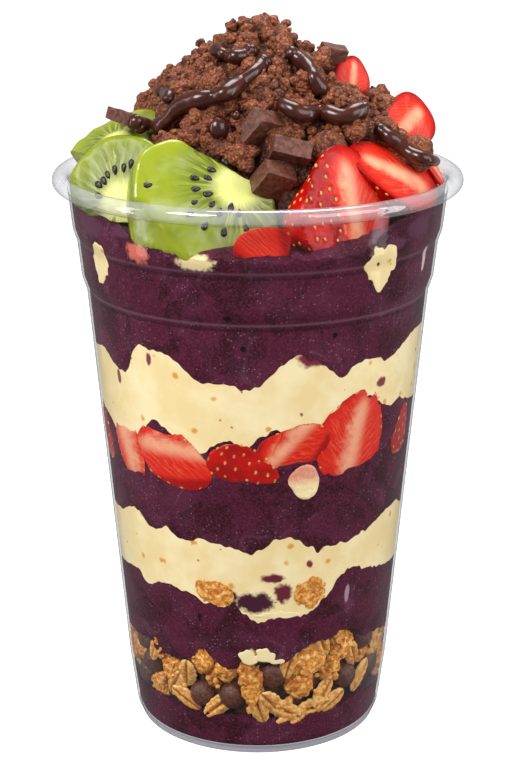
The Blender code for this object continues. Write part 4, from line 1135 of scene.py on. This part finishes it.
# Turns from the front up to which meshes are fine
FRONT_TURNS = 75
GRANOLA_CRUMBS = 260
CLUSTERS = ((-25.7, 24.1, 4.4), (-14.5, 22.0, 3.4), (-43.0, 20.8, 3.6), (-21.7, 18.4, 3.2), (-3.8, 22.0, 3.2),
            (-2.2, 17.3, 3.0), (22.6, 24.6, 5.2), (19.2, 17.7, 3.4), (35.3, 21.3, 3.6), (40.9, 26.2, 4.0),
            (58.5, 21.0, 3.6), (78, 16, 4.4), (80, 23, 4.0), (-76, 18, 4.4), (-52, 12.5, 3.0), (-48, 25, 3.2))
OATS = ((-40.4, 15.9, 30), (6.2, 14.0, -40), (12.3, 11.5, -62), (31.2, 14.7, 38), (54.6, 15.4, 40),
        (-51.9, 24.3, 20), (16.2, 8.9, 70), (37.0, 11.6, 60), (28.5, 29.0, -20), (-33.0, 20.0, 10),
        (-18.0, 12.6, 50), (0.5, 12.6, -20), (26.0, 11.2, 75), (47.0, 23.0, -30), (66.0, 24.0, 15),
        (-34.5, 12.6, -55), (13.6, 24.5, 15), (-9.0, 26.0, 35))


def from_balls(turn, height, across=MM_PER_DEGREE, up=1.0):
    """Distance from a spot at the wall to the nearest chocolate ball, with a weight for each way."""
    return min(math.hypot(from_front(turn - spot[0]) * across, (height - spot[1]) * up) for spot in BALLS)


def granola_edges(turn):
    """Lower and upper height of the granola at the wall."""
    return border_at_wall(ACAI_BASE_TOP, turn), border_at_wall(GRANOLA_TOP, turn)


def make_granola_core():
    """The inside of the granola, painted dark as the shade in the gaps between the pieces at the wall."""
    turns = np.arange(360)
    low, high = granola_edges(turns)
    rings = []
    for share, inset in ((0.0, 30.0), (0.0, 2.2), (0.3, 2.4), (0.7, 2.4), (1.0, 2.2), (1.0, 30.0)):
        heights = low + (high - low) * share
        spots = on_circle(turns, np.maximum(1.0, outer_radius(heights) - WALL - inset), heights)
        rings.append(spots + 0.5 * ripple(spots, 2.0, 8)[:, None] * (1, 1, 0.3))
    add_piece("granola_core", loft(rings), GRANOLA_SHADE, ["granola_layer"])


def granola_behind(rng):
    """Clusters and oats behind, in three rows."""
    clusters, oats = [], []
    for turn in range(84, 278, 8):
        low, high = granola_edges(turn)
        for share in (0.22, 0.55, 0.86):
            spot = (turn + rng.uniform(-3, 3), low + (high - low) * share, rng.uniform(2.9, 4.6))
            if rng.random() < 0.28:
                oats.append((spot[0], spot[1], rng.uniform(-80, 80)))
            elif from_balls(spot[0], spot[1], 1.0, 1.6) > 9:
                clusters.append(spot)
    return clusters, oats


def make_balls():
    """Chocolate balls pressed on the wall."""
    meshes = []
    for index, (turn, height) in enumerate(BALLS):
        points, faces = ball(3)
        points = points * BALL_RADIUS * (1 + 0.012 * ripple(points, 0.5, index)[:, None])
        meshes.append((on_wall(points, turn, height, BALL_RADIUS - 0.55, 0, FRUIT_REACH), faces))
    add_piece("granola_balls", join(meshes), BALL_COAT)


def make_clusters(spots, rng):
    """Clusters at the wall, set deeper where a ball lies before them."""
    meshes = []
    for index, (turn, height, radius) in enumerate(spots):
        detail = 5 if abs(from_front(turn)) < FRONT_TURNS else 3
        squash = (rng.uniform(0.95, 1.25), 0.8, 1.0)
        back = radius * 0.72 + (2.2 if from_balls(turn, height) < radius + 2.8 else 0.0)
        points, faces = cluster(radius, detail, 200 + index, squash, flaky=0.95)
        meshes.append((on_wall(points, turn, height, back, rng.uniform(-40, 40), DAB_REACH), faces))
    add_piece("granola_clusters", join(meshes), GRANOLA, sharp=CLUSTER_SHARP)


def make_oats(spots, rng):
    """Oats at the wall, and crumbs between them."""
    meshes = []
    paints = []
    for turn, height, roll in spots:
        detail = 4 if abs(turn) < FRONT_TURNS else 3
        points, faces, paint = oat(rng.uniform(8.0, 10.0), rng.uniform(4.4, 5.2), 1.9, detail)
        tilt = Matrix.Rotation(math.radians(rng.uniform(-12, 12)), 4, "X")
        meshes.append((on_wall(place(points, tilt), turn, height, 0.9, roll, FRUIT_REACH), faces))
        paints.append(paint)
    base, faces = ball(1)
    for _ in range(GRANOLA_CRUMBS):
        turn = rng.uniform(-180, 180)
        low, high = granola_edges(turn)
        size = rng.uniform(0.5, 1.3)
        points = base * size * rng.uniform(0.7, 1.3, (len(base), 1))
        height = low + (high - low) * rng.uniform(0.05, 0.95)
        if from_balls(turn, height) < BALL_RADIUS + 0.5:
            continue
        meshes.append((on_wall(points, turn, height, size * 0.8 + rng.uniform(0, 1), 0, DAB_REACH), faces))
        paints.append(np.full((len(points), 3), 0.6))
    add_piece("granola_oats", join(meshes), OAT, paint=("flake", np.concatenate(paints)))


def make_granola():
    """The core, what is pressed on the wall round it, and the clusters above the lower acai."""
    make_granola_core()
    rng = np.random.default_rng(5)
    clusters, oats = granola_behind(rng)
    make_balls()
    make_clusters(CLUSTERS + tuple(clusters), rng)
    make_oats(OATS + tuple(oats), rng)
    for index, (turn, height, radius) in enumerate(GRANOLA_BITS):
        points, faces = cluster(radius, 5, 300 + index, (1.2, 0.9, 0.85), flaky=0.9)
        points = on_wall(points, turn, height, radius * 0.5, 20, FRUIT_REACH)
        add_piece(f"granola_cluster_{index + 1}", (points, faces), GRANOLA,
                  [f"granola_bit_{index + 1}"], CLUSTER_SHARP)


def make_wall_bits():
    """The pale bit, the dabs of cream in the crown of acai and the streaks over the granola."""
    base, faces = ball(4)
    turn, height, radius = PALE_BIT
    points = base * radius * (1 + 0.12 * ripple(base * radius, 3.4, 31)[:, None]) * (1.12, 1.0, 1.0)
    points = on_wall(points, turn, height, 0.45 * radius, 0, FRUIT_REACH)
    add_piece("pale_bit_fruit", (points, faces), PALE_FRUIT, ["pale_bit"])
    for index, (turn, height, half_width, half_height) in enumerate(CREAM_DABS):
        shape = base * (half_width, DAB_DEPTH, half_height)
        shape[:, 0] *= 1.0 - 0.45 * np.clip(-base[:, 2], 0, 1)
        shape[:, 2] += 0.9 * ripple(shape * (1, 0, 0), 3.0, 51 + index)
        relief = 0.55 * ripple(shape, 2.0, 41 + index) + 0.3 * ripple(shape, 0.9, 47 + index)
        shape += base * relief[:, None]
        points = on_wall(shape, turn, height, DAB_DEPTH * 0.45, 0, DAB_REACH)
        add_piece(f"cream_dab_{index + 1}_smear", (points, faces), CREAM, [f"cream_dab_{index + 1}"])
    streaks = []
    for index, (turn, height, half_width, half_height) in enumerate(CREAM_STREAKS):
        shape = base * (half_width, 1.6, half_height)
        shape += base * (0.4 * ripple(shape, 1.3, 55 + index))[:, None]
        streaks.append((on_wall(shape, turn, height, 0.6, 0, DAB_REACH), faces))
    add_piece("cream_streaks", join(streaks), CREAM)


# Chocolate blocks

def make_blocks():
    """Blocks with rounded, slightly uneven edges."""
    for index, (name, centre, turn, pitch, roll, size) in enumerate(BLOCKS):
        bm = bmesh.new()
        bmesh.ops.create_cube(bm, size=1.0)
        bm.transform(Matrix.Diagonal((*size, 1.0)))
        bmesh.ops.subdivide_edges(bm, edges=bm.edges[:], cuts=7, use_grid_fill=True)
        bmesh.ops.triangulate(bm, faces=bm.faces[:])
        points, faces = as_arrays(bm)
        half = np.array(size) / 2
        inner = np.clip(points, -half + BLOCK_EDGE, half - BLOCK_EDGE)
        away = points - inner
        length = np.linalg.norm(away, axis=1)[:, None]
        points = inner + away * np.minimum(1.0, BLOCK_EDGE / np.maximum(length, 1e-6))
        points = points + 0.07 * ripple(points, 1.6, 60 + index)[:, None] * np.sign(away)
        points = place(points, pose(centre, turn, pitch, roll))
        add_piece(name + "_chunk", (points, faces), CHOCOLATE, [name], 38)


# The heap of brownie crumble

def heap_reach(turn):
    return np.interp(from_front(turn), *zip(*HEAP_REACH))


def heap_height(x, y):
    """Height of the heap's surface above a plan point."""
    radii, heights = zip(*HEAP_SLOPE)
    turn = np.degrees(np.arctan2(x, -np.asarray(y)))
    return np.interp(np.hypot(x, y) / heap_reach(turn), radii, heights)


def cut_faces():
    """The cut faces of the fruit on top: pose of each, its half width and half height."""
    for _, centre, turn, lean, roll, size, _, _ in KIWIS:
        yield pose(centre, turn, lean, roll), size[0], size[1]
    for _, centre, turn, lean, roll, size in BERRIES:
        yield pose(centre, turn, lean, roll), size[1] / 2, size[0] / 2


def over_face(own, half_width, half_height, margin):
    """Whether points, given in a face's own coordinates, lie over it or within a margin round it."""
    return (own[:, 0] / (half_width + margin)) ** 2 + (own[:, 2] / (half_height + margin)) ** 2 < 1.0


def push_behind(points, depth, margin):
    """Move points that lie before a fruit's cut face to some depth behind it."""
    points = points.copy()
    for matrix, half_width, half_height in cut_faces():
        own = place(points, matrix.inverted())
        near = over_face(own, half_width, half_height, margin)
        near &= (own[:, 1] < depth) & (own[:, 1] > -PUSH_DEPTH)
        own[near, 1] = depth
        points[near] = place(own[near], matrix)
    return points


def before_a_face(spot, radius):
    """Whether a lump would hide a fruit's cut face."""
    for matrix, half_width, half_height in cut_faces():
        own = place(np.array([spot]), matrix.inverted())
        over = over_face(own, half_width, half_height, 0.4 * radius)[0]
        if over and -CLEAR_DEPTH < own[0, 1] < 0.55 * radius:
            return True
    return False


def make_heap_core():
    """The inside of the heap, in the shade of the lumps."""
    turns = np.arange(240) * 1.5
    rings = []
    reach = np.minimum(HEAP_CORE_RADIUS, HEAP_SLOPE[-1][0] * heap_reach(turns))
    for share in np.linspace(0.03, 1.0, 44):
        spots = on_circle(turns, share * reach, 0.0)
        spots[:, 2] = heap_height(spots[:, 0], spots[:, 1]) - HEAP_CORE_DEPTH
        rings.append(spots)
    rim = rings[-1]
    foot = rim * (1, 1, 0) + (0, 0, CROWN_LEVEL - 0.5)
    rings = [foot + (rim - foot) * share for share in (0.0, 0.25, 0.5, 0.75)] + rings[::-1]
    points, faces = loft(rings)
    relief = 1.3 * granules(points, 3.2, 21) + 0.7 * granules(points, 1.3, 22) + 0.6 * ripple(points, 4.0, 23)
    points = points + point_normals(points, faces) * relief[:, None]
    for _ in range(3):
        points = push_behind(points, 2.5, 1.2)
    return add_piece("brownie_core", (points, faces), BROWNIE_SHADE, ["brownie_heap"])


def lump_spots(rng):
    """Centre and radius of the lumps, kind after kind, spread over the heap by the golden angle."""
    golden = 180.0 * (3.0 - math.sqrt(5.0))
    spots = []
    for count, low, high, sunk in LUMP_KINDS:
        for index in range(count):
            share = (index + 0.5) / count
            turn = index * golden + rng.uniform(-7, 7)
            radius = rng.uniform(low, high) * (0.5 + 0.5 * min(1.0, 3.5 * share))
            reach = LUMP_REACH * float(heap_reach(turn)) * share ** 0.55
            spot = on_circle(turn, reach, 0.0)
            near_peak = 1.0 - min(1.0, 3.0 * share)
            spot[2] = heap_height(spot[0], spot[1]) - (sunk + 0.6 * near_peak) * radius
            spot[2] = min(spot[2] + rng.uniform(-1.8, 0.6), TOP - 1.25 * radius)
            spots.append((spot, radius))
    return spots


def trail_spots(rng):
    """The lumps of the trail over the strawberries."""
    spots = []
    for start, end in zip(CRUMB_TRAIL, CRUMB_TRAIL[1:]):
        for share in (0.0, 0.33, 0.67):
            spot = np.array(start) * (1 - share) + np.array(end) * share
            spots.append((spot + rng.uniform(-1.2, 1.2, 3), rng.uniform(1.5, 2.9)))
    return spots


def make_heap():
    """The core and the lumps of the brownie. Lumps in front are finer meshes than those behind."""
    core = make_heap_core()
    fruit = [item for item in bpy.data.objects if item.name.endswith(("_half", "_slice", "_chunk"))
             and not item.name.startswith("band")]
    trees = search_trees(fruit)

    def inside_fruit(spot):
        spot = Vector(spot) * MM
        for tree in trees:
            nearest, normal, _, distance = tree.find_nearest(spot)
            if (spot - nearest).dot(normal) < 0 and distance < 20.0 * MM:
                return True
        return False

    rng = np.random.default_rng(3)
    spots = [(spot, radius) for spot, radius in lump_spots(rng)
             if not inside_fruit(spot) and not before_a_face(spot, radius)]
    spots += trail_spots(rng)
    spots += [(np.array(spot), radius) for spot, radius in PEAK_LUMPS + FRONT_LUMPS]
    large, small = [], []
    for index, (spot, radius) in enumerate(spots):
        big = radius > LARGE_LUMP
        detail = 2 + (spot[1] < FINE_LUMPS) + big
        points, faces = cluster(radius, detail, 400 + index, rng.uniform(0.8, 1.15, 3),
                                rng.uniform(1.0, 2.0), 0.3)
        points = points + spot
        points[:, 2] -= max(0.0, points[:, 2].max() - TOP + 0.05)
        (large if big else small).append((points, faces))
    return [core, add_piece("brownie_large_lumps", join(large), BROWNIE),
            add_piece("brownie_small_lumps", join(small), BROWNIE)]


def make_crumbs(heap):
    """Loose crumbs that lie on the heap, dropped straight down on it."""
    rng = np.random.default_rng(8)
    trees = search_trees(heap)
    meshes = []
    base, faces = ball(2)
    while len(meshes) < CRUMBS:
        turn = rng.uniform(-180, 180)
        reach = CRUMB_REACH * float(heap_reach(turn)) * rng.uniform(0.0, 1.0) ** 0.55
        spot = on_circle(turn, reach, 0.0)
        start = Vector((spot[0], spot[1], 200.0)) * MM
        hits = [tree.ray_cast(start, Vector((0, 0, -1)))[0] for tree in trees]
        heights = [hit.z / MM for hit in hits if hit]
        if not heights:
            continue
        radius = 0.4 + 1.1 * rng.uniform() ** 1.6
        spot[2] = min(max(heights) + 0.25 * radius, TOP - 1.8 * radius)
        if before_a_face(spot, radius):
            continue
        uneven = 1.0 + 0.22 * ripple(base, 0.7, len(meshes), 6)[:, None]
        meshes.append((base * radius * rng.uniform(0.75, 1.2, 3) * uneven + spot, faces))
    add_piece("brownie_crumbs", join(meshes), BROWNIE)


# Chocolate sauce

def smooth_path(points, count):
    """Points evenly spread on a smooth curve through the given ones."""
    points = np.asarray(points, float)
    ends = np.vstack([2 * points[0] - points[1], points, 2 * points[-1] - points[-2]])
    path = []
    for share in np.linspace(0, len(points) - 1 - 1e-6, count):
        index = int(share)
        step = share - index
        a, b, c, d = ends[index:index + 4]
        path.append(0.5 * (2 * b + (c - a) * step + (2 * a - 5 * b + 4 * c - d) * step ** 2
                           + (3 * b - a - 3 * c + d) * step ** 3))
    return np.array(path)


def rope(path, radii, around=16):
    """A round rope along a path with closed, rounded ends."""
    along = np.gradient(path, axis=0)
    along /= np.linalg.norm(along, axis=1)[:, None]
    side = np.cross(along[0], (0.0, 0.0, 1.0))
    rings = []
    angles = np.arange(around) * math.tau / around
    for spot, heading, radius in zip(path, along, radii):
        side = side - heading * side.dot(heading)
        side /= np.linalg.norm(side)
        other = np.cross(heading, side)
        rings.append(spot + radius * (np.cos(angles)[:, None] * side + np.sin(angles)[:, None] * other))
    return loft(rings)


def smoothed(path, width=7):
    """A path evened out over so many points to each side."""
    padded = np.vstack([path[:1]] * width + [path] + [path[-1:]] * width)
    kernel = np.hanning(2 * width + 1)
    kernel /= kernel.sum()
    return np.stack([np.convolve(padded[:, axis], kernel, "valid") for axis in range(3)], axis=1)


def make_sauce(pieces):
    """Trails and drops of sauce, placed by the photograph on whichever piece the sight line meets."""
    trees = search_trees(pieces)
    eye = Vector(CAMERA_PLACE) * MM

    def landing(pixel):
        hits = [tree.ray_cast(eye, sight_line(*pixel)) for tree in trees]
        hits = [hit for hit in hits if hit[0]]
        return min(hits, key=lambda hit: hit[3])[0] / MM if hits else None

    meshes = []
    for number, (pixels, radius) in enumerate(SAUCE_TRAILS):
        spots = [landing(pixel) for pixel in smooth_path(pixels, 10 * len(pixels))]
        path = smoothed(np.array([spot for spot in spots if spot]))
        outward = path * (1, 1, 0) / np.maximum(np.hypot(path[:, 0], path[:, 1]), 1.0)[:, None]
        path = path + (outward * 0.5 + (0, 0, 0.5)) * radius
        share = np.linspace(0, 1, len(path))
        ends = np.clip(np.minimum(share, 1 - share) * len(path) / 5.0, 0.02, 1.0)
        radii = radius * (1 + 0.2 * ripple(path, 4.0, number)) * np.sqrt(ends * (2 - ends))
        meshes.append(rope(path, radii))
    base, faces = ball(3)
    tall = np.where(base[:, 2] > 0, 1.25, 0.9)
    drop = base * np.stack([np.ones_like(tall), np.ones_like(tall), tall], axis=1)
    meshes += [(drop * radius + np.array(landing(pixel)), faces) for pixel, radius in SAUCE_DROPS]
    points, faces = join(meshes)
    points[:, 2] = np.minimum(points[:, 2], TOP - 0.02)
    add_piece("chocolate_sauce", (points, faces), SAUCE)


def build():
    make_cup()
    make_layers()
    make_granola()
    make_wall_bits()
    make_berries()
    make_kiwis()
    make_blocks()
    heap = make_heap()
    make_crumbs(heap)
    make_sauce(heap + [item for item in bpy.data.objects if item.name.endswith(("_chunk", "_half"))])


build()


# Studio

# Soft lights round the cup: name, place in millimetres, width and height in metres, power
LIGHTS = (
    ("key", (-360, -420, 560), (0.26, 0.26), 4.6),
    ("fill", (420, -380, 360), (0.4, 0.4), 2.0),
    ("left_strip", (-560, -160, 160), (0.1, 0.6), 1.2),
    ("right_strip", (560, -120, 160), (0.12, 0.6), 1.4),
    ("top", (60, 160, 640), (0.3, 0.3), 2.8),
)
LIT_SPOT = (0, 0, 100)
WORLD_STRENGTH = 0.34
FLOOR_GLOW = 0.92
WHITE = (1.0, 1.0, 1.0, 1.0)


def make_lights():
    for name, spot, size, power in LIGHTS:
        data = bpy.data.lights.new(name, "AREA")
        data.shape = "RECTANGLE"
        data.size, data.size_y = size
        data.energy = power
        light = bpy.data.objects.new(name, data)
        light.location = Vector(spot) * MM
        aim = Vector(LIT_SPOT) * MM - light.location
        light.rotation_euler = aim.to_track_quat("-Z", "Y").to_euler()
        bpy.context.scene.collection.objects.link(light)
    world = bpy.data.worlds.new("studio")
    world.use_nodes = True
    background = world.node_tree.nodes["Background"]
    background.inputs["Color"].default_value = WHITE
    background.inputs["Strength"].default_value = WORLD_STRENGTH
    bpy.context.scene.world = world


def make_floor():
    """A white floor that the food doesn't mirror."""
    bpy.ops.mesh.primitive_plane_add(size=8.0, location=(0, 0, -0.0002))
    floor = bpy.context.object
    floor.name = "floor"
    paint = Paint("floor_white", Roughness=0.9, Specular_IOR_Level=0.1, Emission_Strength=FLOOR_GLOW,
                  Base_Color=(0.5, 0.5, 0.5, 1.0), Emission_Color=WHITE)
    floor.data.materials.append(paint.material)
    floor.visible_glossy = False
    floor.visible_diffuse = False


def make_camera():
    data = bpy.data.cameras.new("camera")
    data.sensor_width = SENSOR
    data.lens = FOCAL_PIXELS * SENSOR / max(IMAGE_SIZE)
    data.shift_x = (IMAGE_SIZE[0] / 2 - AXIS_PIXEL) / max(IMAGE_SIZE)
    camera = bpy.data.objects.new("camera", data)
    camera.location = Vector(CAMERA_PLACE) * MM
    camera.rotation_euler = (math.radians(90) - CAMERA_PITCH, 0.0, 0.0)
    bpy.context.scene.collection.objects.link(camera)
    bpy.context.scene.camera = camera


make_floor()
make_lights()
make_camera()
bpy.context.scene.view_settings.view_transform = "Standard"
